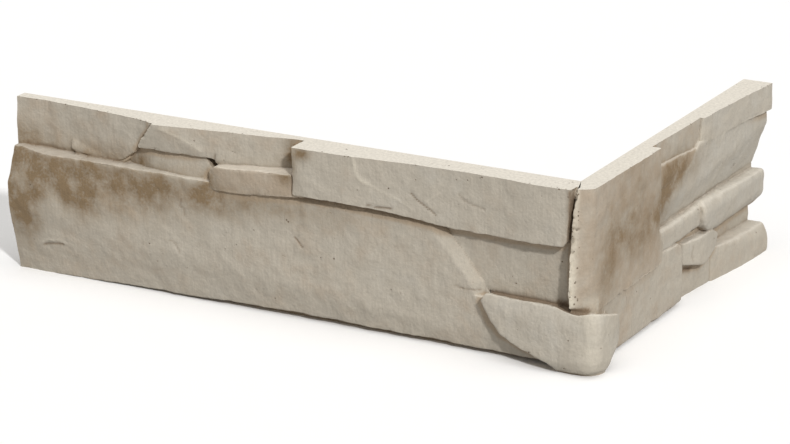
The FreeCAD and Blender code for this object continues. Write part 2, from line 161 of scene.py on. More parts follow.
class Leg(Enum):
    """One of the two legs of the corner."""

    LONG = "long leg"
    SHORT = "short leg"

    def measures(self, points: np.ndarray) -> tuple[np.ndarray, np.ndarray, np.ndarray]:
        """Along, depth and level of points on this leg."""
        x, y, level = points.T
        return (-x, -y, level) if self is Leg.LONG else (y, x, level)


@dataclass(frozen=True)
class Outline:
    """Closed outline on the face of a leg, with rounded corners.

    Attributes:
        corners: Along and level of each corner, before rounding.
        radius: Radius of the outward corners.
    """

    corners: Pairs
    radius: float = 0.8

    @cached_property
    def inset(self) -> np.ndarray:
        """Corners moved in by the radius, along the mitre of their two sides.

        Returns:
            The moved corners, one row each.
        """
        corners = np.array(self.corners, float)
        after = np.roll(corners, -1, axis=0)
        area = (corners[:, 0] * after[:, 1] - after[:, 0] * corners[:, 1]).sum()
        run = after - corners
        run /= np.hypot(*run.T)[:, None]
        inward = np.stack([-run[:, 1], run[:, 0]], axis=1) * np.sign(area)
        before = np.roll(inward, 1, axis=0)
        mitre = (before + inward) / (1 + (before * inward).sum(axis=1))[:, None]
        return corners + self.radius * mitre

    @cached_property
    def bounds(self) -> tuple[np.ndarray, np.ndarray]:
        """Lowest and highest corner of the outline's box."""
        corners = np.array(self.corners, float)
        return corners.min(axis=0), corners.max(axis=0)

    def inside(self, along: np.ndarray, level: np.ndarray) -> np.ndarray:
        """Distance inside the rounded outline.

        The distance to the inset outline, positive inside by the count of sides that a
        level line crosses, plus the radius.

        Args:
            along: First measure of the places.
            level: Second measure of the places.

        Returns:
            Signed distance, positive inside.
        """
        corners = self.inset
        closed = tuple(map(tuple, np.vstack([corners, corners[:1]])))
        away = path_distance(closed, along, level)
        run = np.roll(corners, -1, axis=0) - corners
        from_along = along[:, None] - corners[:, 0]
        from_level = level[:, None] - corners[:, 1]
        below = corners[:, 1] > level[:, None]
        crosses = below != np.roll(below, -1, axis=1)
        slope = run[:, 0] / np.where(run[:, 1] == 0, 1, run[:, 1])
        inside = (crosses & (from_along < from_level * slope)).sum(axis=1) % 2 == 1
        return np.where(inside, away, -away) + self.radius


@dataclass(frozen=True)
class Profile:
    """A size that changes over one measure, such as the depth of a face along its leg.

    Attributes:
        points: Place and size pairs, with rising places.
        soft: How far each bend is spread to both sides.
    """

    points: Pairs
    soft: float = 2.0

    # Step of the table, and how many times the softness the bell curve reaches
    STEP = 0.25
    REACH = 3

    @cached_property
    def table(self) -> tuple[np.ndarray, np.ndarray, np.ndarray]:
        """Places, sizes and the stretch of the slope there.

        Straight runs between the points are blurred with a bell curve; the stretch is the
        square root of 1 and the squared slope.

        Returns:
            The three columns of the table.
        """
        places, sizes = np.array(self.points, float).T
        grid = np.arange(places[0] - SPARE, places[-1] + SPARE, self.STEP)
        raw = np.interp(grid, places, sizes)
        count = math.ceil(self.REACH * self.soft / self.STEP)
        bell = np.exp(-0.5 * (np.arange(-count, count + 1) * self.STEP / self.soft) ** 2)
        smooth = np.convolve(np.pad(raw, count, mode="edge"), bell / bell.sum(), mode="valid")
        return grid, smooth, np.sqrt(1 + np.gradient(smooth, self.STEP) ** 2)

    def at(self, place: np.ndarray) -> np.ndarray:
        """Size at a place."""
        return np.interp(place, self.table[0], self.table[1])

    def under(self, place: np.ndarray, size: np.ndarray) -> np.ndarray:
        """Distance under the profile: the size that is left, divided by the stretch."""
        return (self.at(place) - size) / np.interp(place, self.table[0], self.table[2])


@dataclass(frozen=True)
class Bevel:
    """A slope that rises away from a line on the face.

    Attributes:
        start: First place of the line, as along and level.
        end: Second place of the line. The slope rises on its left side.
        depth: Depth at the line.
        rise: Rise of the slope for each millimetre away from the line.
    """

    start: tuple[float, float]
    end: tuple[float, float]
    depth: float
    rise: float

    def under(self, along: np.ndarray, depth: np.ndarray, level: np.ndarray) -> np.ndarray:
        """Distance under the slope: depth at the line plus rise times the way from it.

        Args:
            along: Places along the leg.
            depth: Depths of the places.
            level: Levels of the places.

        Returns:
            Signed distance, positive under the slope.
        """
        run = np.subtract(self.end, self.start) / math.dist(self.end, self.start)
        away = run[0] * (level - self.start[1]) - run[1] * (along - self.start[0])
        return (self.depth + self.rise * away - depth) / math.hypot(1, self.rise)


@dataclass(frozen=True)
class Stone:
    """One stone of the relief: what its outline, profiles and slopes have in common.

    Attributes:
        name: Plain name of the stone.
        leg: Leg that it lies on.
        face: Outline on the leg's face.
        top: Depth along the leg.
        end: Depth over the level.
        back: Least depth that the stone reaches back to.
        edge: Radius of its worn edges.
        bevels: Slopes that cut it.
        tint: Tone of the stone, from -1 for cool grey to 1 for warm brown.
        rough: How uneven its face is, where 1 is usual.
    """

    name: str
    leg: Leg
    face: Outline
    top: Profile | None = None
    end: Profile | None = None
    back: float = -4.0
    edge: float = 0.9
    bevels: tuple[Bevel, ...] = ()
    tint: float = 0.0
    rough: float = 1.0

    # How far round its outline a stone is worked out
    MARGIN = 4.0

    def near(self, points: np.ndarray) -> np.ndarray:
        """Find the points within a margin of the stone's outline.

        Args:
            points: Places in millimetres, one row each.

        Returns:
            True for the near ones.
        """
        along, _, level = self.leg.measures(points)
        (low_along, low_level), (high_along, high_level) = self.face.bounds
        return (
            (along > low_along - self.MARGIN)
            & (along < high_along + self.MARGIN)
            & (level > low_level - self.MARGIN)
            & (level < high_level + self.MARGIN)
        )

    def inside(self, points: np.ndarray) -> np.ndarray:
        """Distance inside the stone: its sides, profiles and slopes meet with round edges.

        Args:
            points: Places in millimetres, one row each.

        Returns:
            Signed distance, positive inside.
        """
        along, depth, level = self.leg.measures(points)
        sides = [self.face.inside(along, level), depth - self.back]
        if self.top:
            sides.append(self.top.under(along, depth))
        if self.end:
            sides.append(self.end.under(level, depth))
        sides += [bevel.under(along, depth, level) for bevel in self.bevels]
        return round_meet(sides, self.edge)


@dataclass(frozen=True)
class CornerRock(Stone):
    """The rounded rock that turns round the corner.

    Attributes:
        side: How far it stands out along X, over the level.
        flank: Outline of its side, as Y and level.
        crown: Level of its head at the front, over X.
        lean: Fall of the head for each millimetre towards the wall.
        round: Radius of its upright arris.
    """

    side: Profile = Profile(
        ((0, 18), (3, 19.3), (8, 20.4), (16, 20.8), (28, 20.8), (36, 20.4)), 1,
    )
    flank: Outline = Outline(
        ((-32, UNDER), (-4, UNDER), (-4.2, 1.4), (-2, 5.2), (0.2, 8.6), (2.6, 11.4), (5.6, 14.2),
         (7.8, 17.5), (9.2, 21), (9.4, 25), (8.6, 28.2), (6.2, 31.2), (2, 33.8), (-6, 36.8),
         (-12, 40), (-32, 44)), 1.5,
    )
    crown: Profile = Profile(
        ((-50, 38), (-39, 37.9), (-22, 37.6), (-6, 37.5), (-3, 36.9), (0, 36), (4, 34.9),
         (8, 34.8), (12.6, 35.7), (16, 37), (19, 37.3), (23, 36.8)), 0.8,
    )
    lean: float = 0.3
    round: float = 8.0

    def inside(self, points: np.ndarray) -> np.ndarray:
        """Distance inside the stone, its side and its leaning head.

        The front and the side meet with the wide radius of the arris; the head falls by the
        lean times the way from the front.

        Args:
            points: Places in millimetres, one row each.

        Returns:
            Signed distance, positive inside.
        """
        x, y, level = points.T
        head = self.crown.at(x) - self.lean * (y + ROCK_DEPTH)
        front = np.minimum(self.top.under(-x, -y), self.end.under(level, -y))
        body = round_meet([front, self.side.under(level, x)], self.round)
        sides = [
            body, self.face.inside(-x, level), self.flank.inside(y, level),
            (head - level) / math.hypot(1, self.lean), -self.back - y,
        ]
        return round_meet(sides, self.edge)


@dataclass(frozen=True)
class CornerPost(Stone):
    """The upright stone whose end is canted more and more towards its foot.

    Attributes:
        seam: X of the end's front edge, over the level.
        tip: Y of the end's front edge, over the level.
        arris: Y of the arris between the end and the face, over the level.
        arris_depth: Depth of that arris.
        arris_round: Radius of that arris.
    """

    seam: Profile = Profile(((36, 2.5), (80, 2.5), (90, 3.1), (100, 4.2)), 2.0)
    tip: Profile = Profile(
        ((37, -19.7), (47, -19.1), (58, -18.4), (70, -17.3), (80, -16.5), (90, -15.3),
         (100, -13.9)), 2.0,
    )
    arris: Profile = Profile(((33, -5.2), (39, -5.6), (50, -7.2), (66, -9), (100, -9.8)), 3.0)
    arris_depth: float = 11.3
    arris_round: float = 1.8

    def inside(self, points: np.ndarray) -> np.ndarray:
        """Distance inside the stone, behind the straight line from tip to arris.

        Args:
            points: Places in millimetres, one row each.

        Returns:
            Signed distance, positive inside.
        """
        x, y, level = points.T
        tip, seam = self.tip.at(level), self.seam.at(level)
        across = self.arris_depth - seam
        drop = self.arris.at(level) - tip
        canted = (across * (y - tip) - drop * (x - seam)) / np.hypot(across, drop)
        turned = round_meet([super().inside(points), canted], self.arris_round)
        return round_meet([turned, x - seam], self.edge)


@dataclass(frozen=True)
class LongLeg:
    """Stones of the long leg, with sizes measured from the wall's arris.

    Attributes:
        ledge: Level of the ledge over the great face.
        joint: Leaning joint between the thin slab and the wedge stone.
        wedge_foot: Level of the wedge stone's foot.
        lens_near: Near end of the lens stone.
        brick_near: Near end of the small brick.
        brick_far: Far end of the small brick.
        crack: Near end of the long block, at the crack.
        block_far: Far end of the long block.
        block_foot: Foot of the long block.
        scarp: Edge of the great face against the low field.
        rock_flank: Far edge of the corner rock, from its head to its toe.
        great_depths: Depth of the great face along the leg.
        great_section: Depth of the great face over the level.
    """

    ledge: float = 72.0
    joint: Pairs = ((277, 73), (272, 75.5), (264, 81), (261.3, 85.9), (254.2, 95), (250.4, 100))
    wedge_foot: float = 84.0
    lens_near: float = 215.0
    brick_near: float = 155.0
    brick_far: float = 214.5
    crack: float = -2.6
    block_far: float = 161.0
    block_foot: Pairs = (
        (0.1, 71.5), (2.2, 68.8), (12, 67.9), (38, 67.8), (67, 67.8), (97, 70.7), (125.6, 73.1),
        (161, 73.2),
    )
    scarp: Pairs = ((54.5, 26), (49.6, 32.3), (51.2, 39.8), (62.1, 53), (74, 66.5))
    rock_flank: Pairs = (
        (44.8, 39), (46.5, 36), (48.2, 32.8), (45.2, 27.1), (42.2, 22), (36.2, 16.2), (27.1, 11.7),
        (18.4, 8.7), (9.2, 5.3), (5.5, 2.2),
    )
    great_depths: Profile = Profile(
        ((20, 13.2), (74, 13.2), (120, 14.4), (160, 15.2), (210, 16.4), (290, 18), (335, 20.4),
         (346, 19.6)), 8,
    )
    great_section: Profile = Profile(
        ((0, 10.7), (10, 12.8), (20, 15.4), (34, 18.6), (46, 20.2), (57, 20.4), (72, 18.4)), 2.5,
    )

    def thin_slab(self) -> Stone:
        """Thin slab at the head, which swells towards its leaning end.

        Returns:
            The stone.
        """
        (foot, low), *_, (head, _) = self.joint
        corners = (
            (foot, low - SPARE), *self.joint, (head, OVER), (PAST_LONG, OVER),
            (PAST_LONG, low - SPARE),
        )
        depths = (
            (240, 18.6), (249, 18), (256.5, 14.3), (267, 13), (288, 10.6), (309, 7.8), (330, 7),
            (346, 7.9),
        )
        return Stone(
            "thin slab", Leg.LONG, Outline(corners, 0.4), Profile(depths, 2), tint=0.15, rough=1.6
        )

    def slab_layer(self) -> Stone:
        """Layer of the thin slab that stands out at its foot and dies out towards the head.

        Returns:
            The stone.
        """
        corners = (
            (273, 72.8), (306, 72.6), (309, 75), (310.5, 83), (309.5, 90), (302, 97), (270, 99),
            (258, 94), (266, 79),
        )
        depths = ((258, 14.4), (275, 12.4), (290, 11.6), (300, 10.8), (309, 9.4))
        section = ((72, 12), (75, 10.8), (78, 9), (82, 7), (92, 5))
        return Stone(
            "slab layer", Leg.LONG, Outline(corners, 0.5), Profile(depths, 3), Profile(section, 2),
            tint=0.1,
        )

    def wedge_stone(self) -> Stone:
        """Stone that falls away from the leaning joint to the long block.

        Returns:
            The stone.
        """
        leaning = tuple(place for place in self.joint if place[1] > self.wedge_foot)
        near = self.brick_near - 4
        corners = (
            (near, 78), (209, 78), (215.5, self.wedge_foot), (leaning[0][0], self.wedge_foot),
            *leaning, (leaning[-1][0], OVER), (near, OVER),
        )
        depths = (
            (150, 5.4), (165, 5.8), (172, 6.8), (180, 8.6), (195, 10.5), (212, 12.7), (230, 15.7),
            (246, 18.6), (262, 18.6),
        )
        bevel = Bevel((247, 98), (345.2, 79.1), 18.3, 0.265)
        return Stone(
            "wedge stone", Leg.LONG, Outline(corners, 0.3), Profile(depths, 2), edge=0.5,
            bevels=(bevel,),
        )

    def lens_stone(self) -> Stone:
        """Small stone that leans out from below the wedge stone to the ledge.

        Returns:
            The stone.
        """
        corners = (
            (self.lens_near, self.ledge - SPARE), (262, self.ledge - SPARE), (270, 73),
            (275, 77), (272, 81), (262, self.wedge_foot + 2),
            (self.lens_near + 6, self.wedge_foot + 2), (self.lens_near, 78),
        )
        depths = ((200, 14), (240, 13.4), (254, 12), (264, 9.8), (274, 7.4))
        section = ((70, 13.8), (75, 13.1), (80, 12.1), (85, 11))
        return Stone(
            "lens stone", Leg.LONG, Outline(corners, 0.4), Profile(depths, 2),
            Profile(section, 1), edge=0.5, tint=0.1,
        )

    def small_brick(self) -> Stone:
        """Brick-like stone let into the head of the great face.

        Returns:
            The stone.
        """
        corners = (
            (self.brick_near, 71.8), (188, 69.1), (211.4, 67.6), (self.brick_far, 69.1),
            (215, 73.5), (214.2, 79.3), (211, 81.4), (180, 83.1), (self.brick_near, 84.2),
        )
        depths = ((150, 18.3), (200, 18.3), (209, 17.8), (216, 16.4))
        return Stone(
            "small brick", Leg.LONG, Outline(corners, 0.8), Profile(depths, 1.5), edge=0.6,
            tint=0.9,
        )

    def long_block(self) -> Stone:
        """Thick block at the head that ends at the crack.

        Returns:
            The stone.
        """
        corners = (*self.block_foot, (self.block_far, OVER), (self.crack, OVER))
        depths = (
            (-0.5, 15.6), (2, 16.6), (6, 16.6), (20, 17.1), (39, 15), (68, 14.6), (97, 16),
            (125, 19), (149, 19.8), (158, 20.4),
        )
        bevel = Bevel((152, 73), (152, 100), 20.1, 0.06)
        return Stone(
            "long block", Leg.LONG, Outline(corners, 0.8), Profile(depths, 4), edge=0.6,
            bevels=(bevel,), tint=-0.1, rough=0.6,
        )

    def great_face(self) -> Stone:
        """Large lower stone with a bellied face, cut off by the scarp.

        Returns:
            The stone.
        """
        corners = (
            *self.scarp, (74, self.ledge + 1), (205, self.ledge + 1),
            (215, self.ledge), (245, 72.2), (262, 72.4), (280, 73), (300, 72.7), (324, 72.8),
            (LONG_END - 6, 73), (LONG_END, 72.2), (PAST_LONG, 71), (PAST_LONG, -1.2), (292, 0.8),
            (226, 2.1), (162, 3.7), (100, 3.1), (60, 3),
        )
        slopes = tuple(
            Bevel(end, start, 9.4, 0.75) for start, end in zip(self.scarp[1:-1], self.scarp[2:])
        )
        broken = Bevel((LONG_END, 71), (LONG_END - 84.1, 125.1), 12, 0.5)
        below_block = Bevel((126, 73.4), (67, 67.9), 11.2, 0.55)
        return Stone(
            "great face", Leg.LONG, Outline(corners, 0.6), self.great_depths, self.great_section,
            edge=0.6, bevels=(*slopes, broken, below_block), tint=0.1, rough=1.2,
        )

    def great_foot(self) -> Stone:
        """Foot of the great face, which runs on behind the corner rock.

        Returns:
            The stone.
        """
        corners = (
            (80, 2.9), (80, 34), (70, 34), (49.4, 32.2), (38, 31), (6, 22), (6, 1.8), (30, 2.7),
        )
        return Stone(
            "great foot", Leg.LONG, Outline(corners, 0.6), self.great_depths, self.great_section,
            edge=0.6, tint=0.1,
        )

    def low_field(self) -> Stone:
        """Set-back surface between the scarp and the corner post.

        Returns:
            The stone.
        """
        corners = ((-5, 26), (85, 26), (85, 74), (-5, 74))
        depths = ((-5, 8.2), (20, 8.6), (50, 8.8), (75, 8.4))
        return Stone("low field", Leg.LONG, Outline(corners), Profile(depths, 5), tint=0.1)

    def corner_rock(self) -> Stone:
        """Rounded rock at the foot that turns round the corner.

        Returns:
            The stone.
        """
        corners = ((-26, UNDER), (-26, 44), (40, 44), *self.rock_flank, (4, UNDER))
        section = (
            (0, 15), (1.3, 18), (4, 19.8), (8, 20.7), (26, 20.6), (32, 19.8), (36, 18.6),
            (39, 17),
        )
        depths = ((-21, 21), (5, 21), (32, 20.4), (46, 19))
        return CornerRock(
            "corner rock", Leg.LONG, Outline(corners, 0.8), Profile(depths, 4),
            Profile(section, 0.8), back=-6.0, edge=0.9, tint=-0.3, rough=1.3,
        )

    def stones(self) -> list[Stone]:
        """Every stone of the leg."""
        return [
            self.thin_slab(), self.slab_layer(), self.wedge_stone(), self.lens_stone(),
            self.small_brick(), self.long_block(), self.great_face(), self.great_foot(),
            self.low_field(), self.corner_rock(),
        ]


@dataclass(frozen=True)
class ShortLeg:
    """Stones of the short leg, with sizes measured from the wall's arris.

    Attributes:
        post_far: Far edge of the corner post.
        post_foot: Level of the corner post's foot.
        post_toe: Level of its foot at the canted end.
        cap_near: Near end of the far cap.
        cap_foot: Level of the far cap's foot.
        chip_foot: Level of the ledge chip's foot.
        slope_near: Near end of what lies beside the post.
        slope_foot: Level of the sloping face's foot.
        bar_levels: Foot and head of the rounded bar.
        bar_far: Far end of the rounded bar.
        thick_near: Nose of the thick bar.
        foot_far: Far end of the smooth foot.
        far_foot_near: Near end of the far foot.
    """

    post_far: float = 71.0
    post_foot: float = 33.3
    post_toe: float = 37.5
    cap_near: float = 134.0
    cap_foot: float = 85.0
    chip_foot: float = 74.5
    slope_near: float = 64.0
    slope_foot: float = 51.5
    bar_levels: tuple[float, float] = (37.5, 50.3)
    bar_far: float = 137.0
    thick_near: float = 130.0
    foot_far: float = 105.0
    far_foot_near: float = 150.0

    def corner_post(self) -> Stone:
        """Upright stone on the short leg whose canted end stands past the corner.

        Returns:
            The stone.
        """
        corners = (
            (-26, self.post_toe + 4), (-20, self.post_toe + 2.5), (-18, self.post_toe - 1.2),
            (-14, self.post_toe - 3.8), (-9.6, self.post_foot - 2), (-4, self.post_foot - 2),
            (2, self.post_foot - 1.2), (14, self.post_foot - 0.3), (40, self.post_foot + 0.2),
            (70, self.post_foot), (77, self.post_foot + 1), (78, 38), (76.5, 47),
            (self.post_far + 1.3, 54), (self.post_far + 0.9, 82), (self.post_far, OVER),
            (-26, OVER),
        )
        depths = ((-20, 11), (0, 12.2), (30, 12.9), (64, 13.3), (71, 13), (78, 12.6))
        return CornerPost(
            "corner post", Leg.SHORT, Outline(corners, 0.8), Profile(depths, 3), edge=0.5,
            tint=0.6, rough=0.7,
        )

    def back_strip(self) -> Stone:
        """Thin strip between the corner post and the far cap.

        Returns:
            The stone.
        """
        near, far = self.slope_near, self.cap_near + SPARE
        corners = ((near, 80), (far, 80), (far, OVER), (near, OVER))
        depths = ((63, 7.3), (105, 8.7), (142, 8.7))
        return Stone("back strip", Leg.SHORT, Outline(corners), Profile(depths, 4), tint=0.3)

    def far_cap(self) -> Stone:
        """Thick stone at the head of the leg's end.

        Returns:
            The stone.
        """
        corners = (
            (self.cap_near - 3, self.cap_foot + 2), (self.cap_near + 4, self.cap_foot),
            (PAST_SHORT, self.cap_foot - 0.5), (PAST_SHORT, OVER), (self.cap_near, OVER),
        )
        depths = ((131, 9.6), (136, 11.6), (158, 12.5), (181, 14.4), (213, 17.8))
        return Stone(
            "far cap", Leg.SHORT, Outline(corners, 0.5), Profile(depths, 2), edge=0.6, tint=-0.3,
        )

    def ledge_chip(self) -> Stone:
        """Small ledge below the strip, which dies out at the far cap.

        Returns:
            The stone.
        """
        corners = (
            (self.slope_near, self.chip_foot), (112, self.chip_foot), (126, 77), (134, 80),
            (136, 84), (104, 86.6), (self.slope_near, 88),
        )
        depths = ((72, 9.8), (80, 10.7), (86, 10.1), (88, 8.4))
        return Stone(
            "ledge chip", Leg.SHORT, Outline(corners), end=Profile(depths, 1), edge=0.9, tint=0.8,
        )

    def sloping_face(self) -> Stone:
        """Broad face that slopes back to the groove over the bars.

        Returns:
            The stone.
        """
        corners = (
            (self.slope_near, self.slope_foot), (PAST_SHORT, self.slope_foot), (PAST_SHORT, 87),
            (128, 87), (112, 76.5), (self.slope_near, 76.5),
        )
        section = ((50, 6.2), (51.5, 6.4), (64, 10.4), (78, 15.2), (85, 13.8))
        depths = ((64, 9.2), (84, 9.8), (131, 11), (180, 13.2), (214, 15.2))
        return Stone(
            "sloping face", Leg.SHORT, Outline(corners), Profile(depths, 6), Profile(section, 1.5),
            tint=-0.6,
        )

    def rounded_bar(self) -> Stone:
        """Long bar with a rounded section.

        Returns:
            The stone.
        """
        foot, head = self.bar_levels
        near, far = self.slope_near, self.bar_far
        corners = ((near, foot), (far, foot), (far, head), (near, head))
        depths = ((65, 10.6), (90, 11.6), (120, 11.5), (137, 10.8))
        return Stone(
            "rounded bar", Leg.SHORT, Outline(corners, 2.5), Profile(depths, 3), edge=3.2,
            tint=-0.3,
        )

    def thick_bar(self) -> Stone:
        """Thick bar to the far end, with a blunt nose and an undercut foot.

        Returns:
            The stone.
        """
        near = self.thick_near
        corners = (
            (near, 43), (near + 1.5, 38.5), (near + 6, 34.5), (near + 13, 32.6), (150, 30.5),
            (160, 25), (PAST_SHORT, 25), (PAST_SHORT, 48.4), (170, 50.2), (near + 4, 51.8),
            (near + 0.8, 49.5),
        )
        section = ((25, 5), (33, 12.8), (36, 13.9), (46, 14.5), (49, 13.4), (52, 10.5))
        return Stone(
            "thick bar", Leg.SHORT, Outline(corners, 0.8), end=Profile(section, 0.9), edge=1.2,
            tint=-0.4,
        )

    def groove_bed(self) -> Stone:
        """Bottom of the grooves above and below the bars.

        Returns:
            The stone.
        """
        near = self.slope_near
        corners = ((near, 30), (PAST_SHORT, 30), (PAST_SHORT, 56), (near, 56))
        depths = ((63, 6.6), (140, 6.2), (214, 6.2))
        return Stone("groove bed", Leg.SHORT, Outline(corners), Profile(depths, 3), tint=0.3)

    def hollow_bed(self) -> Stone:
        """Bottom of the hollow below the small block.

        Returns:
            The stone.
        """
        corners = ((100, UNDER), (158, UNDER), (158, 36), (100, 36))
        depths = ((100, 5.2), (110, 5.4), (125, 7), (145, 8.6), (158, 9))
        return Stone("hollow bed", Leg.SHORT, Outline(corners), Profile(depths, 4), tint=0.1)

    def smooth_foot(self) -> Stone:
        """Smooth stone at the bed, under the corner post.

        Returns:
            The stone.
        """
        corners = (
            (-4, UNDER), (self.foot_far + 1, UNDER), (self.foot_far, 26), (self.foot_far - 2, 36),
            (self.foot_far - 5, 37.6), (80, 39), (-4, 39),
        )
        depths = ((-4, 12), (8, 11.8), (30, 11.1), (80, 11.9), (105, 12.4))
        section = ((0, 6.5), (1.2, 9), (3, 12.2), (6, 13), (40, 13))
        return Stone(
            "smooth foot", Leg.SHORT, Outline(corners), Profile(depths, 5), Profile(section, 0.8),
            tint=0.25, rough=0.35,
        )

    def small_block(self) -> Stone:
        """Small six-sided block over the hollow.

        Returns:
            The stone.
        """
        corners = (
            (112, 20.5), (133, 15.6), (150, 19.5), (154.5, 28), (144, 33.4), (112, 33.4),
        )
        depths = ((112, 9), (119, 11.6), (128, 13.4), (140, 13.4), (154, 12.4))
        return Stone(
            "small block", Leg.SHORT, Outline(corners, 1.2), Profile(depths, 3), edge=1.2,
            tint=-0.2, rough=0.6,
        )

    def far_foot(self) -> Stone:
        """Stone at the bed of the leg's end.

        Returns:
            The stone.
        """
        near = self.far_foot_near
        corners = ((near, UNDER), (PAST_SHORT, UNDER), (PAST_SHORT, 16.2), (180, 18), (near, 19.4))
        depths = ((150, 9.8), (160, 12), (172, 14.2), (200, 17), (214, 18.2))
        section = ((0, 17.2), (3, 17.8), (10.6, 17.5), (14, 15.8), (16.4, 14.2), (19.4, 10.8))
        return Stone(
            "far foot", Leg.SHORT, Outline(corners, 0.8), Profile(depths, 3),
            Profile(section, 1.0), edge=0.9, tint=0.2, rough=0.6,
        )

    def stones(self) -> list[Stone]:
        """Every stone of the leg."""
        return [
            self.corner_post(), self.back_strip(), self.far_cap(), self.ledge_chip(),
            self.sloping_face(), self.rounded_bar(), self.thick_bar(), self.groove_bed(),
            self.hollow_bed(), self.smooth_foot(), self.small_block(), self.far_foot(),
        ]


@dataclass(frozen=True)
class Grain:
    """Seeded noise in space, from about -1 to 1.

    Attributes:
        cell: Size of the largest lumps.
        seed: Seed of its random gradients.
        octaves: Layers, each with lumps of half the size and half the height of the one before.
    """

    cell: float
    seed: int
    octaves: int = 1

    # Values and factors of the hash that gives each cell its gradient
    SIZE = 1024
    PRIMES = (73856093, 19349663, 83492791)
    # Factor that brings a layer to the range from -1 to 1
    GAIN = 1.6
    # Shift, in cells, that keeps the octaves apart
    APART = 17.3

    @cached_property
    def gradients(self) -> np.ndarray:
        """Random unit vectors, one for each value of the hash."""
        vectors = np.random.default_rng(self.seed).normal(size=(self.SIZE, 3))
        return vectors / np.linalg.norm(vectors, axis=1)[:, None]

    def layer(self, points: np.ndarray) -> np.ndarray:
        """One octave: gradients at the eight corners of a cell, eased from one to the next.

        The ease of a share t is 6 t^5 - 15 t^4 + 10 t^3.

        Args:
            points: Places in units of the cell, one row each.

        Returns:
            The noise there.
        """
        corner = np.floor(points).astype(np.int64)
        part = points - corner
        ease = part**3 * (part * (part * 6 - 15) + 10)
        total = np.zeros(len(points))
        for step in np.ndindex(2, 2, 2):
            place = (corner + step) * self.PRIMES
            number = (place[:, 0] ^ place[:, 1] ^ place[:, 2]) % self.SIZE
            slope = (self.gradients[number] * (part - step)).sum(axis=1)
            weight = np.where(step, ease, 1 - ease).prod(axis=1)
            total += slope * weight
        return total * self.GAIN

    def __call__(self, points: np.ndarray) -> np.ndarray:
        """Sum the octaves.

        Args:
            points: Places in millimetres, in an array of any shape.

        Returns:
            The noise at each place.
        """
        flat = points.reshape(-1, 3) / self.cell
        total = sum(
            self.layer(flat * 2**octave + self.APART * octave) / 2**octave
            for octave in range(self.octaves)
        )
        return total.reshape(points.shape[:-1])


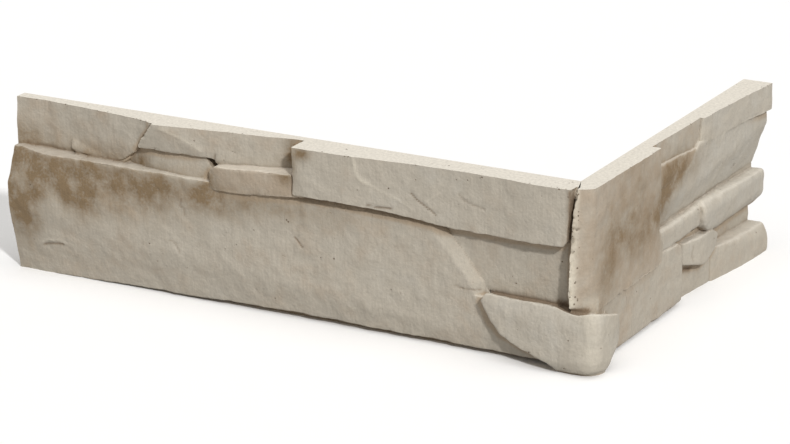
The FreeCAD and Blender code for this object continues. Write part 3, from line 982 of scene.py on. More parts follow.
@dataclass(frozen=True)
class Relief:
    """The stones joined to one surface, which is sampled on a grid of rays.

    Each ray starts at the back edge and stands square on its leg; round the wall's arris the
    rays fan out. The grid's two parameters are the station of the ray and the share of the way
    up the surface.

    Attributes:
        stones: Stones of both legs.
        backing: Thickness of the plain wall behind them.
        reach: Where the rays' search starts, outside the piece.
        rows: Steps of the grid from the bed to the head.
        crisp: How much closer the grid's lines lie at edges, for each radian of their bend.
    """

    stones: list[Stone]
    backing: float = 5.2
    reach: float = 33.0
    rows: int = 128
    crisp: float = 3.0

    # Ranges of places on the legs and of angles round the arris, with the step in each
    LONG_STEPS = (
        (0, 4, 0.4), (4, 40, 0.8), (40, 60, 0.75), (60, 154, 0.9), (154, 166, 0.6),
        (166, 208, 0.9), (208, 222, 0.7), (222, LONG_END, 0.92),
    )
    FAN_STEPS = ((0, 14, 0.8), (14, 76, 2.6), (76, 90, 1.6))
    SHORT_STEPS = (
        (0, 66, 1.0), (66, 82, 0.7), (82, 128, 0.9), (128, 160, 0.8), (160, SHORT_END, 0.95),
    )
    # Levels that are searched for each row that is kept
    FINER = 2
    # Steps of the search along a ray, and the longest one
    SEARCHES = 20
    LONGEST_STEP = 4.0
    # Step over which a slope is measured
    NUDGE = 0.05
    # Longest way that a point is pulled at once, and least squared slope that it is pulled by
    LONGEST_PULL = 1.5
    LEAST_STEEP = 0.25
    # How far towards the key light an overhang is looked for, to paint shade under it, and the
    # least share by which a face looks that way
    OPEN = 6.0
    LEAST_FACING = 0.3
    # Distance given to places that a stone isn't near to
    FAR_OUT = -32.0

    @staticmethod
    def places(steps: tuple[tuple[float, float, float], ...]) -> np.ndarray:
        """List places at about the given step in each range, without the last one.

        Args:
            steps: Start, end and step of each range.

        Returns:
            The places in order.
        """
        runs = [
            np.linspace(low, high, round((high - low) / step), endpoint=False)
            for low, high, step in steps
        ]
        return np.concatenate(runs)

    @cached_property
    def rays(self) -> tuple[np.ndarray, np.ndarray]:
        """Foot and direction of every ray in plan, from the long leg's end to the short one's.

        The rays of the fan start at the arris; their direction is the sine and the negative
        cosine of their angle.

        Returns:
            The feet and the directions, one row each.
        """
        long_places = -np.append(self.places(self.LONG_STEPS), LONG_END)[:0:-1]
        angles = np.radians(self.places(self.FAN_STEPS))
        short_places = np.append(self.places(self.SHORT_STEPS), SHORT_END)
        foot = np.zeros((len(long_places) + len(angles) + len(short_places), 2))
        way = np.zeros_like(foot)
        fan = slice(len(long_places), len(long_places) + len(angles))
        foot[: fan.start, 0] = long_places
        way[: fan.start, 1] = -1
        way[fan] = np.stack([np.sin(angles), -np.cos(angles)], axis=1)
        foot[fan.stop :, 1] = short_places
        way[fan.stop :, 0] = 1
        return foot, way

    def wall(self, points: np.ndarray) -> np.ndarray:
        """Distance inside the plain wall: the nearer of its two faces, round the corner.

        Args:
            points: Places in millimetres, one row each.

        Returns:
            Signed distance, positive inside.
        """
        out = points[:, :2] * (1, -1) - self.backing
        outside = np.hypot(*np.maximum(out, 0).T)
        return -np.where(outside > 0, outside, out.max(axis=1))

    def distances(self, points: np.ndarray) -> np.ndarray:
        """Distance inside every stone and inside the plain wall.

        Args:
            points: Places in millimetres, one row each.

        Returns:
            Signed distances, with a row for each stone and the wall as the last row.
        """
        rows = np.full((len(self.stones) + 1, len(points)), self.FAR_OUT)
        for row, stone in zip(rows, self.stones):
            near = stone.near(points)
            row[near] = stone.inside(points[near])
        rows[-1] = self.wall(points)
        return rows

    def inside(self, points: np.ndarray) -> np.ndarray:
        """Distance inside the joined relief: the greatest of all, for points in any shape."""
        return self.distances(points.reshape(-1, 3)).max(axis=0).reshape(points.shape[:-1])

    def outermost(self) -> np.ndarray:
        """Outermost place of the relief on every ray, at even steps up the surface.

        From outside, each search step goes along the ray by the distance to the relief. The
        rows are then spread over the length of the line up the surface, ledges included.

        Returns:
            Points of the grid, as stations by rows by three.
        """
        foot, way = self.rays
        levels = np.linspace(0, HEAD, self.FINER * self.rows + 1)
        feet, ways = np.repeat(foot, len(levels), axis=0), np.repeat(way, len(levels), axis=0)
        level = np.tile(levels, len(foot))
        out = np.full(len(feet), self.reach)
        for _ in range(self.SEARCHES):
            points = np.column_stack([feet + ways * out[:, None], level])
            out += np.clip(self.inside(points), -self.LONGEST_STEP, self.LONGEST_STEP)
        out = out.reshape(len(foot), -1)
        walked = np.cumsum(np.hypot(np.diff(out, axis=1), np.diff(levels)), axis=1)
        share = np.pad(walked / walked[:, -1:], ((0, 0), (1, 0)))
        # The shares of one station end before the next one's begin, so one table serves all
        station = 2.0 * np.arange(len(foot))[:, None]
        wanted = np.linspace(0, 1, self.rows + 1) + station
        known = (share + station).ravel()
        out = np.interp(wanted, known, out.ravel())
        plan = foot[:, None] + way[:, None] * out[..., None]
        return np.dstack([plan, np.interp(wanted, known, level)])

    def slope(self, grid: np.ndarray, here: np.ndarray) -> np.ndarray:
        """Slope of the distance at every point of a grid, by small steps in x, y and z.

        Args:
            grid: Points as stations by rows by three.
            here: Distance inside the relief at those points.

        Returns:
            The slopes, in the shape of the grid.
        """
        steps = [self.inside(grid + self.NUDGE * axis) - here for axis in np.eye(3)]
        return np.stack(steps, axis=-1) / self.NUDGE

    def pull(self, grid: np.ndarray) -> tuple[np.ndarray, np.ndarray]:
        """Bring a grid back to the surface, with its rim kept in the planes of the mould.

        Each point moves against the slope of the distance by the distance itself.

        Args:
            grid: Points as stations by rows by three.

        Returns:
            The moved points, and the outward normals there.
        """
        here = self.inside(grid)
        slope = self.slope(grid, here)
        normal = -slope / np.maximum(np.linalg.norm(slope, axis=2), TINY)[..., None]
        slope[:, [0, -1], 2] = 0
        slope[0, :, 0] = 0
        slope[-1, :, 1] = 0
        steep = np.maximum((slope**2).sum(axis=2), self.LEAST_STEEP)
        move = -slope * (here / steep)[..., None]
        return grid + np.clip(move, -self.LONGEST_PULL, self.LONGEST_PULL), normal

    def relax(self, grid: np.ndarray, rounds: int = 14) -> tuple[np.ndarray, np.ndarray]:
        """Even out the grid over the surface, and draw its lines towards the edges.

        In each round every point goes half way to the weighted mean of its neighbours and is
        pulled back to the surface. A neighbour weighs more where the surface bends between
        the two. The rim moves only along itself.

        Args:
            grid: Points as stations by rows by three.
            rounds: How often this is done.

        Returns:
            The evened points, and the outward normals there.
        """
        grid, normal = self.pull(grid)
        for _ in range(rounds):
            across = 1 + self.crisp * np.linalg.norm(np.diff(normal, axis=0), axis=2)[..., None]
            up = 1 + self.crisp * np.linalg.norm(np.diff(normal, axis=1), axis=2)[..., None]
            total = np.zeros_like(grid)
            weight = np.zeros((*grid.shape[:2], 1))
            total[1:-1] += across[1:] * grid[2:] + across[:-1] * grid[:-2]
            weight[1:-1] += across[1:] + across[:-1]
            total[:, 1:-1] += up[:, 1:] * grid[:, 2:] + up[:, :-1] * grid[:, :-2]
            weight[:, 1:-1] += up[:, 1:] + up[:, :-1]
            corners = np.ix_([0, -1], [0, -1])
            total[corners], weight[corners] = grid[corners], 1
            grid, normal = self.pull(grid + (total / weight - grid) / 2)
            grid = trim(grid)
        return grid, normal

    def bends(self, grid: np.ndarray, normal: np.ndarray, size: float) -> np.ndarray:
        """How sharp an edge is near, from 0 on a plane to 1.

        It is the share by which the surface is nearer than a plane would be, from a point that
        lies below the surface by the given size, or over it where the size is negative.

        Args:
            grid: Points on the surface.
            normal: Outward normals there.
            size: Depth below the surface, or height over it where negative.

        Returns:
            The share at every point.
        """
        return np.clip(1 - self.inside(grid - size * normal) / size, 0, 1)

    def overhang_shade(self, grid: np.ndarray, normal: np.ndarray) -> np.ndarray:
        """How far each point lies in an overhang's shade from the key light, from 0 in the open to
        1; shade is painted there.

        It is the share by which the relief is nearer than a plane would be, from a point that
        lies a little way off in the direction of the key light.

        Args:
            grid: Points on the surface.
            normal: Outward normals there.

        Returns:
            The share at every point.
        """
        way = np.array(KEY_FROM) / math.dist(KEY_FROM, (0, 0, 0))
        there = -self.inside(grid + self.OPEN * way)
        plane = self.OPEN * np.clip(normal @ way, self.LEAST_FACING, 1)
        return np.clip(1 - there / plane, 0, 1)

    def owners(self, grid: np.ndarray) -> np.ndarray:
        """Number of the stone that each point of a grid lies on."""
        return self.distances(grid.reshape(-1, 3)).argmax(axis=0).reshape(grid.shape[:2])


@dataclass(frozen=True)
class Mark:
    """A line on a face: a vein, a flake's edge, a scratch, a slit, or a band of painted shade or
    painted highlight.

    Attributes:
        leg: Leg that it lies on.
        path: Corners of the line, as along and level.
        width: Half of its width.
        height: How far it stands out, or cuts in where negative.
        light: How pale it is, or dark where negative; on some marks this paints a highlight, on
            others shade.
        below: Depth that the surface stays under where the line shows.
    """

    leg: Leg
    path: Pairs
    width: float
    height: float
    light: float = 0.0
    below: float = 40.0

    # Widths from the line beyond which it doesn't show
    REACH = 4

    def share(self, points: np.ndarray) -> np.ndarray:
        """1 on the line, falling like a bell curve to both sides and towards the ends.

        Args:
            points: Places in millimetres, one row each.

        Returns:
            The share at each place.
        """
        along, depth, level = self.leg.measures(points)
        corners, reach = np.array(self.path), self.REACH * self.width
        low, high = corners.min(axis=0) - reach, corners.max(axis=0) + reach
        near = (
            (along > low[0]) & (along < high[0]) & (level > low[1]) & (level < high[1])
            & (depth > FACE_DEPTH) & (depth < self.below)
        )
        share = np.zeros(len(points))
        away = path_distance(self.path, along[near], level[near])
        share[near] = np.exp(-((away / self.width) ** 2))
        return share


@dataclass(frozen=True)
class Stain:
    """A brown stain on the faces.

    Attributes:
        leg: Leg that it lies on.
        along: Place of its middle.
        level: Level of its middle.
        width: Half of its width.
        height: Half of its height.
        strength: How brown it is in its middle.
    """

    leg: Leg
    along: float
    level: float
    width: float
    height: float
    strength: float

    def share(self, points: np.ndarray) -> np.ndarray:
        """Strength in the middle, falling like a bell curve.

        Args:
            points: Places in millimetres, one row each.

        Returns:
            The stain's strength at each place.
        """
        along, depth, level = self.leg.measures(points)
        away = ((along - self.along) / self.width) ** 2 + ((level - self.level) / self.height) ** 2
        return self.strength * np.exp(-away) * (depth > FACE_DEPTH)


@dataclass(frozen=True)
class Weathering:
    """What casting and wear do to the relief, with some painted light: uneven faces, chipped edges,
    marks and stains, some marks and one stain being painted shade and one mark a painted highlight.

    Attributes:
        marks: Lines on the faces, some of them painted shadows, painted shade and a painted
            highlight.
        stains: Brown stains on the faces; one of them also paints the long block's shadow on the
            wedge stone.
        lumps: Noise of the uneven faces, with the height of each.
        flakes: Noise that gives the thin flakes their outlines.
        flake_steps: Steps of the flakes for each unit of their noise.
        flake_slope: Share of a step at which its slope starts.
        flake_height: Height of the flakes for each unit of their noise.
        chips: Noise of the chips along the edges.
        chip_sizes: Scale of that noise, its threshold and its weight, for each size of chip.
        chip_depth: Depth of the chips.
        joint_waver: Noise that bends the joints.
        waver: How far it bends them.
        clouds: Noise that breaks up the stains.
        drips: Noise of the upright drips in them.
        drip_stretch: Scale of the drips over the level.
        cloud_share: How strongly the clouds break the stains.
        drip_share: How strongly the drips do.
        most_stain: Greatest sum of overlapping stains.
        broken: Least and greatest factor of a broken stain.
    """

    marks: tuple[Mark, ...] = (
        # Flakes' edges, veins and scratches of the long block
        Mark(Leg.LONG, ((123.6, 100), (122.6, 92), (120, 88.2), (115.2, 86)), 0.9, 0.45, 0.9),
        Mark(Leg.LONG, ((115.2, 86), (104.4, 81.5), (97, 79), (90, 75)), 0.6, 0.25, 0.5),
        Mark(Leg.LONG, ((91, 84), (84.9, 79.5), (80, 77), (76.5, 74.2)), 0.45, -0.55, -0.9),
        Mark(Leg.LONG, ((63, 87.5), (61, 85), (55, 82.6), (48, 81.4)), 0.55, -0.4, -0.35),
        Mark(Leg.LONG, ((82, 80.5), (78, 83.5), (74, 86.5)), 0.5, 0.2, 0.3),
        Mark(Leg.LONG, ((116, 74.6), (111, 73.6), (102, 74)), 0.4, -0.5, -0.8),
        # Scratches and a small flake of the lower stones
        Mark(Leg.LONG, ((162.5, 48), (160, 45.5), (157.4, 43.2)), 0.5, -0.5, -0.9),
        Mark(Leg.LONG, ((233, 59), (234, 55.5), (231, 54), (231, 50)), 0.5, -0.35, -0.5),
        Mark(Leg.LONG, ((241, 34.5), (237, 33.5), (234.5, 28)), 0.5, -0.35, -0.4),
        Mark(Leg.LONG, ((327, 18.6), (322, 21.8), (316, 22.2), (311, 20.6)), 0.8, 0.5, 0.2),
        Mark(Leg.LONG, ((326, 17.4), (320, 19.4), (313, 20)), 0.8, -0.6, -0.8),
        # Vein of the wedge stone
        Mark(Leg.LONG, ((245, 98), (236, 95), (229, 92.5), (221, 88)), 0.7, 0.25, 0.7),
        # A dark joint over the rock's head; painted shadows below the long block and on the low
        # field beside the post; painted shade in the crack and in the gap under the post's foot
        Mark(Leg.LONG, ((48, 34.8), (38, 34.4), (21, 34.1), (4, 33.9)), 0.5, -0.6, -1.2, 12),
        Mark(Leg.LONG, ((155, 71.5), (126, 70.2), (97, 67.4), (70, 64.8)), 2.8, 0, -0.22, 15),
        Mark(Leg.LONG, ((-2.2, 98), (-2, 67)), 1.9, 0, -1.3),
        Mark(Leg.LONG, ((1, 66), (1, 38)), 2.6, 0, -0.3, 13),
        Mark(Leg.LONG, ((7, 34.8), (0, 34), (-8, 33.6)), 1.6, 0, -2.4, 18),
        # Foot of the thin slab, and a painted highlight on the rock's rounded arris, where the key
        # light falls most squarely
        Mark(Leg.LONG, ((340, 73.6), (306, 73.4), (275, 73.6)), 0.8, -0.2, -0.45),
        Mark(Leg.LONG, ((-15, 34), (-15, 6)), 6, 0, 0.55),
        # Slits between stones
        Mark(Leg.LONG, ((250.6, 100), (254.8, 95), (261.8, 86), (264.5, 81)), 0.45, -0.7, -0.8),
        Mark(Leg.LONG, ((161.4, 85), (161.6, 73.5)), 0.6, -0.8, -1.0),
        Mark(Leg.LONG, ((214.6, 82), (213.2, 86)), 0.8, -0.6, -0.6),
        Mark(Leg.LONG, ((66, 36.2), (60, 35.2), (52, 35.4)), 0.45, -0.4, -0.6),
        # Edge of the small block, a nick in the post, and a small cut in the hollow under the small
        # block, painted dark as shade
        Mark(Leg.SHORT, ((121, 30), (119.7, 25), (121.4, 20.6)), 0.5, -0.4, -0.4),
        Mark(Leg.SHORT, ((-18.6, 79.7), (-16.6, 79.4), (-14.4, 78.8)), 0.5, -1.0, -1.0),
        Mark(Leg.SHORT, ((119, 15), (123, 14.6), (127.5, 13.6)), 1.5, -1.2, -1.0),
    )
    stains: tuple[Stain, ...] = (
        Stain(Leg.LONG, 308, 60, 58, 16, 1.1),
        Stain(Leg.LONG, 226, 64, 38, 11, 0.5),
        Stain(Leg.LONG, 320, 63, 12, 7, 0.3),
        Stain(Leg.LONG, 296, 59, 9, 15, 0.4),
        Stain(Leg.LONG, 249, 60, 10, 12, 0.2),
        Stain(Leg.LONG, 222, 66, 12, 6, 0.3),
        Stain(Leg.LONG, 342, 46, 11, 30, 1.1),
        Stain(Leg.LONG, 331, 30, 10, 5, 0.3),
        Stain(Leg.LONG, 170, 63, 44, 8, 0.3),
        Stain(Leg.LONG, 206, 55, 8, 5, 0.3),
        # Partly a stain, partly painted shadow where the long block's end shades the wedge stone
        Stain(Leg.LONG, 166, 90, 6.5, 10, 1.2),
        Stain(Leg.LONG, 154, 97, 5, 3.5, 0.9),
        Stain(Leg.LONG, 264, 77, 9, 6, 0.3),
        Stain(Leg.LONG, 214, 75, 4, 6, 0.5),
        Stain(Leg.SHORT, 45, 82, 24, 28, 0.4),
        Stain(Leg.SHORT, 18, 68, 24, 17, 0.5),
        Stain(Leg.SHORT, 8, 44, 10, 15, 0.6),
        Stain(Leg.SHORT, 52, 58, 24, 18, 0.4),
        Stain(Leg.SHORT, 98, 80, 27, 10, 0.8),
        Stain(Leg.SHORT, 80, 67, 15, 12, 0.8),
    )
    lumps: tuple[tuple[Grain, float], ...] = (
        (Grain(42, 11, 2), 0.35),
        (Grain(13, 12, 2), 0.11),
        (Grain(3.5, 13, 2), 0.07),
    )
    flakes: Grain = Grain(26, 41, 2)
    flake_steps: int = 3
    flake_slope: float = 0.8
    flake_height: float = 0.3
    chips: Grain = Grain(3.6, 31, 3)
    chip_sizes: tuple[tuple[float, float, float], ...] = ((1.0, 0.05, 1.0), (0.45, 0.3, 2.0))
    chip_depth: float = 1.3
    joint_waver: Grain = Grain(9, 21, 2)
    waver: float = 0.4
    clouds: Grain = Grain(22, 51, 3)
    drips: Grain = Grain(11, 52, 3)
    drip_stretch: float = 0.4
    cloud_share: float = 0.45
    drip_share: float = 0.4
    most_stain: float = 1.15
    broken: tuple[float, float] = (0.6, 1.4)

    # Axis over which the pits of the post's rough edge fade, and where from and to
    PIT_FADES = ((0, 6.5, 4.0), (0, 1.5, 2.5), (1, -9, -11), (2, 36, 39))
    # Shifts that keep the waver's three directions apart
    APART = (0, 211, 457)

    def unevenness(self, points: np.ndarray) -> np.ndarray:
        """Height of the uneven faces: lumps of several sizes and thin flakes.

        A flake's height is the noise cut into steps with short slopes between them.

        Args:
            points: Places in millimetres.

        Returns:
            Height at each place, in millimetres.
        """
        height = sum(size * grain(points) for grain, size in self.lumps)
        steps = self.flakes(points) * self.flake_steps
        whole = np.floor(steps)
        stepped = (whole + smooth_step(self.flake_slope, 1, steps - whole)) / self.flake_steps
        return height + self.flake_height * stepped

    def chipping(self, points: np.ndarray, edge: np.ndarray) -> np.ndarray:
        """Depth of the chips along the edges: noise over a threshold, times the sharpness.

        Args:
            points: Places in millimetres.
            edge: Sharpness of the edge at each place.

        Returns:
            Depth at each place, in millimetres.
        """
        chips = sum(
            weight * np.clip(self.chips(points * scale) - threshold, 0, 1)
            for scale, threshold, weight in self.chip_sizes
        )
        return self.chip_depth * edge * chips

    def marked(self, points: np.ndarray) -> tuple[np.ndarray, np.ndarray]:
        """Height and paleness that the marks give to a grid of points, painted shade and highlight
        included.

        Args:
            points: Places in millimetres, as a grid.

        Returns:
            Height in millimetres and paleness at each place.
        """
        flat = points.reshape(-1, 3)
        height, light = np.zeros(len(flat)), np.zeros(len(flat))
        for mark in self.marks:
            share = mark.share(flat)
            height += mark.height * share
            light += mark.light * share
        return height.reshape(points.shape[:-1]), light.reshape(points.shape[:-1])

    def stained(self, points: np.ndarray) -> np.ndarray:
        """Strength of the stains: their spots, broken up by clouds and by upright drips.

        Args:
            points: Places in millimetres, as a grid.

        Returns:
            Strength at each place, from 0 to 1.
        """
        flat = points.reshape(-1, 3)
        spots = sum(spot.share(flat) for spot in self.stains).reshape(points.shape[:-1])
        drips = self.drips(points * (1, 1, self.drip_stretch))
        broken = 1 + self.cloud_share * self.clouds(points) + self.drip_share * drips
        return np.clip(np.minimum(spots, self.most_stain) * np.clip(broken, *self.broken), 0, 1)

    def pitted(self, points: np.ndarray) -> np.ndarray:
        """1 along the rough front edge of the corner post's canted end: a product of fades."""
        fades = [smooth_step(low, high, points[..., axis]) for axis, low, high in self.PIT_FADES]
        return np.prod(fades, axis=0)

    def shift(self, points: np.ndarray) -> np.ndarray:
        """Sideways waver of the joints: one noise for each of the three directions."""
        shifted = [self.joint_waver(points + apart) for apart in self.APART]
        return self.waver * np.stack(shifted, axis=-1)


def neighbour_mean(grid: np.ndarray, reach: int) -> np.ndarray:
    """Mean of a grid over a square window: running sums along both parameters.

    Args:
        grid: Values as stations by rows, with any further axes.
        reach: Steps of the window to each side.

    Returns:
        The means, in the shape of the grid.
    """
    width = 2 * reach + 1
    for axis in (0, 1):
        pad = [(0, 0)] * grid.ndim
        pad[axis] = (reach + 1, reach)
        sums = np.cumsum(np.pad(grid, pad, mode="edge"), axis=axis)
        size = sums.shape[axis]
        high = np.take(sums, range(width, size), axis=axis)
        low = np.take(sums, range(size - width), axis=axis)
        grid = (high - low) / width
    return grid


def grid_normals(grid: np.ndarray) -> np.ndarray:
    """Unit normals of a grid: the cross product of its two directions."""
    normal = np.cross(np.gradient(grid, axis=0), np.gradient(grid, axis=1))
    return normal / np.maximum(np.linalg.norm(normal, axis=2), TINY)[..., None]


class Surface(Enum):
    """What a face of the mesh belongs to, as the number that its finish reads."""

    RELIEF = 0.0
    HEAD = 1.0
    BACK = 2.0


@dataclass
class Shell:
    """Points and faces of one closed mesh, gathered sheet by sheet.

    Attributes:
        points: Points of each sheet, one row each.
        faces: Point numbers of each face.
        cast: Number of the surface that each face belongs to.
        count: How many points there are.
    """

    points: list[np.ndarray] = field(default_factory=list)
    faces: list[list[int]] = field(default_factory=list)
    cast: list[float] = field(default_factory=list)
    count: int = 0

    def add_points(self, points: np.ndarray) -> np.ndarray:
        """Add points to the mesh.

        Args:
            points: Places in millimetres, as a grid.

        Returns:
            Their numbers, in the shape of the grid.
        """
        flat = points.reshape(-1, 3)
        numbers = np.arange(self.count, self.count + len(flat)).reshape(points.shape[:-1])
        self.points.append(flat)
        self.count += len(flat)
        return numbers

    def add_sheet(self, numbers: np.ndarray, surface: Surface, flip: bool = False) -> None:
        """Add the faces of a grid of point numbers, and drop those that have no area.

        Args:
            numbers: Point numbers, as a grid.
            surface: What the faces belong to.
            flip: Whether the faces point the other way.
        """
        corners = np.stack(
            [numbers[:-1, :-1], numbers[1:, :-1], numbers[1:, 1:], numbers[:-1, 1:]], axis=-1
        ).reshape(-1, 4)
        if flip:
            corners = corners[:, ::-1]
        same = corners == np.roll(corners, -1, axis=1)
        self.faces += corners[~same.any(axis=1)].tolist()
        thin = corners[same.sum(axis=1) == 1]
        keep = thin != np.roll(thin, -1, axis=1)
        self.faces += thin[keep].reshape(-1, 3).tolist()
        self.cast += [surface.value] * (len(self.faces) - len(self.cast))

    def add_cap(self, loop: np.ndarray, surface: Surface) -> None:
        """Add one flat face with many corners."""
        self.faces.append(loop.tolist())
        self.cast.append(surface.value)

    def add_lines(self, rim: np.ndarray, back: np.ndarray, count: int) -> np.ndarray:
        """Add lines of points between two edges, at even shares of the way.

        Args:
            rim: Point numbers of the first edge.
            back: Point numbers of the second edge.
            count: Steps from the first edge to the second.

        Returns:
            Point numbers as stations by lines, with both edges.
        """
        places = np.concatenate(self.points)
        shares = np.linspace(0, 1, count + 1)[1:-1, None]
        lines = places[rim, None] * (1 - shares) + places[back, None] * shares
        return np.column_stack([rim, self.add_points(lines), back])


@dataclass
class CornerPiece:
    """The whole cladding corner: relief, flat head, bed and backs, as one closed mesh.

    Attributes:
        long_leg: Stones of the long leg.
        short_leg: Stones of the short leg.
        weathering: Wear of the relief.
        head_lines: Steps from the rim to the back edge on the head.
        bed_lines: Steps from the rim to the back edge on the bed.
        back_rows: Steps from the bed to the head on the backs.
        wall_rough: How uneven the plain wall between the stones is.
        wall_tint: Tone of the plain wall.
        edge_size: How deep below the surface an edge is felt.
        hollow_size: How high over the surface a hollow is felt.
        crease: Angle over which an edge is shaded sharp, in degrees.
    """

    long_leg: LongLeg = LongLeg()
    short_leg: ShortLeg = ShortLeg()
    weathering: Weathering = Weathering()
    head_lines: int = 6
    bed_lines: int = 3
    back_rows: int = 4
    wall_rough: float = 1.0
    wall_tint: float = 0.3
    edge_size: float = 1.2
    hollow_size: float = 3.5
    crease: float = 42.0

    # Where the values of the finish fade in, and the share that each has at most
    # Fade of the paler colour on faces that look up, partly cream and partly painted light from
    # above
    CREAM_AND_TOP_LIGHT_FADE = (0.5, 0.9)
    # Fade of the painted shade under overhangs
    OVERHANG_SHADE_FADE = (0.25, 0.8)
    # Darkening in hollows, partly dirt and partly painted shade: where it fades in and its greatest
    # share
    DIRT_AND_SHADE_FADE = (0.4, 1.0)
    DIRT_AND_SHADE_SHARE = 0.35
    WORN_SHARE = 0.7

    @cached_property
    def relief(self) -> Relief:
        """Stones of both legs as one surface."""
        return Relief(self.long_leg.stones() + self.short_leg.stones())

    def surface(self) -> tuple[np.ndarray, dict[str, np.ndarray]]:
        """Work out the weathered relief and what its finish needs at each point, with where light
        and shade are painted.

        Returns:
            Points of the grid, and the named values of the finish on the same grid.
        """
        relief, wear = self.relief, self.weathering
        grid, normal = relief.relax(relief.outermost())
        owners = relief.owners(grid)
        for number, stone in enumerate(relief.stones):
            LOG.info("%s: %d points", stone.name, (owners == number).sum())
        rough = np.array([stone.rough for stone in relief.stones] + [self.wall_rough])[owners]
        tint = np.array([stone.tint for stone in relief.stones] + [self.wall_tint])[owners]
        edge = relief.bends(grid, normal, self.edge_size)
        hollow = relief.bends(grid, normal, -self.hollow_size)
        raised, light = wear.marked(grid)
        height = wear.unevenness(grid) * rough - wear.chipping(grid, edge) + raised
        moved = trim(grid + normal * height[..., None] + wear.shift(grid))
        facing = grid_normals(moved)[..., 2]
        rim = np.zeros(grid.shape[:2])
        rim[:, -1] = 1
        # Darker in hollows and creases: partly dirt, partly painted shade
        dirt_and_shade = smooth_step(*self.DIRT_AND_SHADE_FADE, hollow) * self.DIRT_AND_SHADE_SHARE
        values = {
            "rim": rim,
            "tint": neighbour_mean(tint, 1),
            # Stains, with the painted shadow beside the long block's end
            "stain_and_shade": wear.stained(grid),
            # Faces that look up are painted paler: partly cream like the head, partly painted light
            # from above
            "cream_and_top_light": smooth_step(*self.CREAM_AND_TOP_LIGHT_FADE, facing),
            # Worn edges and pale marks, the painted highlight on the rock's arris among them
            "wear_and_highlight": np.clip(self.WORN_SHARE * edge + np.maximum(light, 0), 0, 1),
            # Dirt, painted shade in hollows, and the dark marks with their painted shadows and
            # shade
            "dirt_and_shade": np.clip(dirt_and_shade + np.maximum(-light, 0), 0, 1),
            "pitted": wear.pitted(grid),
            # Painted shade where an overhang keeps off the key light
            "overhang_shade": smooth_step(*self.OVERHANG_SHADE_FADE, relief.overhang_shade(grid, normal)),
        }
        return moved, values

    def build(self) -> bpy.types.Object:
        """Join the relief to the flat surfaces of the mould and make the object.

        Returns:
            The finished piece, without its material.
        """
        grid, values = self.surface()
        foot, _ = self.relief.rays
        shell = Shell()
        front = shell.add_points(grid)
        shell.add_sheet(front, Surface.RELIEF)
        levels = np.linspace(0, HEAD, self.back_rows + 1)
        edge = np.repeat(foot[:, None], len(levels), axis=1)
        back = shell.add_points(np.dstack([edge, np.broadcast_to(levels, edge.shape[:2])]))
        arris = np.flatnonzero((foot == 0).all(axis=1))
        back[arris] = back[arris[0]]
        shell.add_sheet(back, Surface.BACK, flip=True)
        head = shell.add_lines(front[:, -1], back[:, -1], self.head_lines)
        shell.add_sheet(head, Surface.HEAD)
        bed = shell.add_lines(front[:, 0], back[:, 0], self.bed_lines)
        shell.add_sheet(bed, Surface.BACK, flip=True)
        for end, order in ((0, 1), (-1, -1)):
            loop = np.concatenate(
                [front[end], head[end][1:-1], back[end][::-1], bed[end][1:-1][::-1]]
            )
            shell.add_cap(loop[::order], Surface.BACK)
        return self.make_object(shell, values)

    def make_object(self, shell: Shell, values: dict[str, np.ndarray]) -> bpy.types.Object:
        """Put the shell and its named values into a mesh, and drop points without faces.

        Args:
            shell: Points and faces, with the relief's grid first.
            values: Named values on that grid.

        Returns:
            The object.
        """
        mesh = bpy.data.meshes.new(PIECE)
        points = np.concatenate(shell.points)
        used = np.zeros(len(points), bool)
        used[np.concatenate(shell.faces)] = True
        number = np.cumsum(used) - 1
        faces = [number[face].tolist() for face in shell.faces]
        mesh.from_pydata((points[used] * METRE).tolist(), [], faces)
        for name, value in values.items():
            full = np.zeros(len(points))
            full[: value.size] = value.ravel()
            layer = mesh.attributes.new(name, "FLOAT", "POINT")
            layer.data.foreach_set("value", full[used].astype(np.float32))
        cast = np.repeat(shell.cast, [len(face) for face in faces])
        layer = mesh.attributes.new("cast", "FLOAT", "CORNER")
        layer.data.foreach_set("value", cast.astype(np.float32))
        mesh.polygons.foreach_set("use_smooth", np.ones(len(faces), bool))
        mesh.set_sharp_from_angle(angle=math.radians(self.crease))
        mesh.update()
        LOG.info("%s: %d points, %d faces", PIECE, len(mesh.vertices), len(mesh.polygons))
        return add_object(PIECE, mesh)


class Value:
    """A socket of a shader whose arithmetic adds Math nodes."""

    def __init__(self, nodes: "Nodes", socket: bpy.types.NodeSocket) -> None:
        """Wrap one socket."""
        self.nodes = nodes
        self.socket = socket

    def math(self, operation: str, *others: "Value | float", clamp: bool = False) -> "Value":
        """Math node of this value and the others, in this order."""
        settings = {"operation": operation, "use_clamp": clamp}
        return self.nodes.add("ShaderNodeMath", settings, dict(enumerate((self, *others))))

    def __add__(self, other: "Value | float") -> "Value":
        """Sum."""
        return self.math("ADD", other)

    def __sub__(self, other: "Value | float") -> "Value":
        """Difference."""
        return self.math("SUBTRACT", other)

    def __rsub__(self, other: float) -> "Value":
        """Difference from a number."""
        return self.math("MULTIPLY_ADD", -1.0, other)

    def __mul__(self, other: "Value | float") -> "Value":
        """Product."""
        return self.math("MULTIPLY", other)

    __radd__, __rmul__ = __add__, __mul__

    def ramp(self, low: float, high: float) -> "Value":
        """Ease from 0 at low to 1 at high."""
        settings = {"interpolation_type": "SMOOTHSTEP"}
        return self.nodes.add("ShaderNodeMapRange", settings, {0: self, 1: low, 2: high})


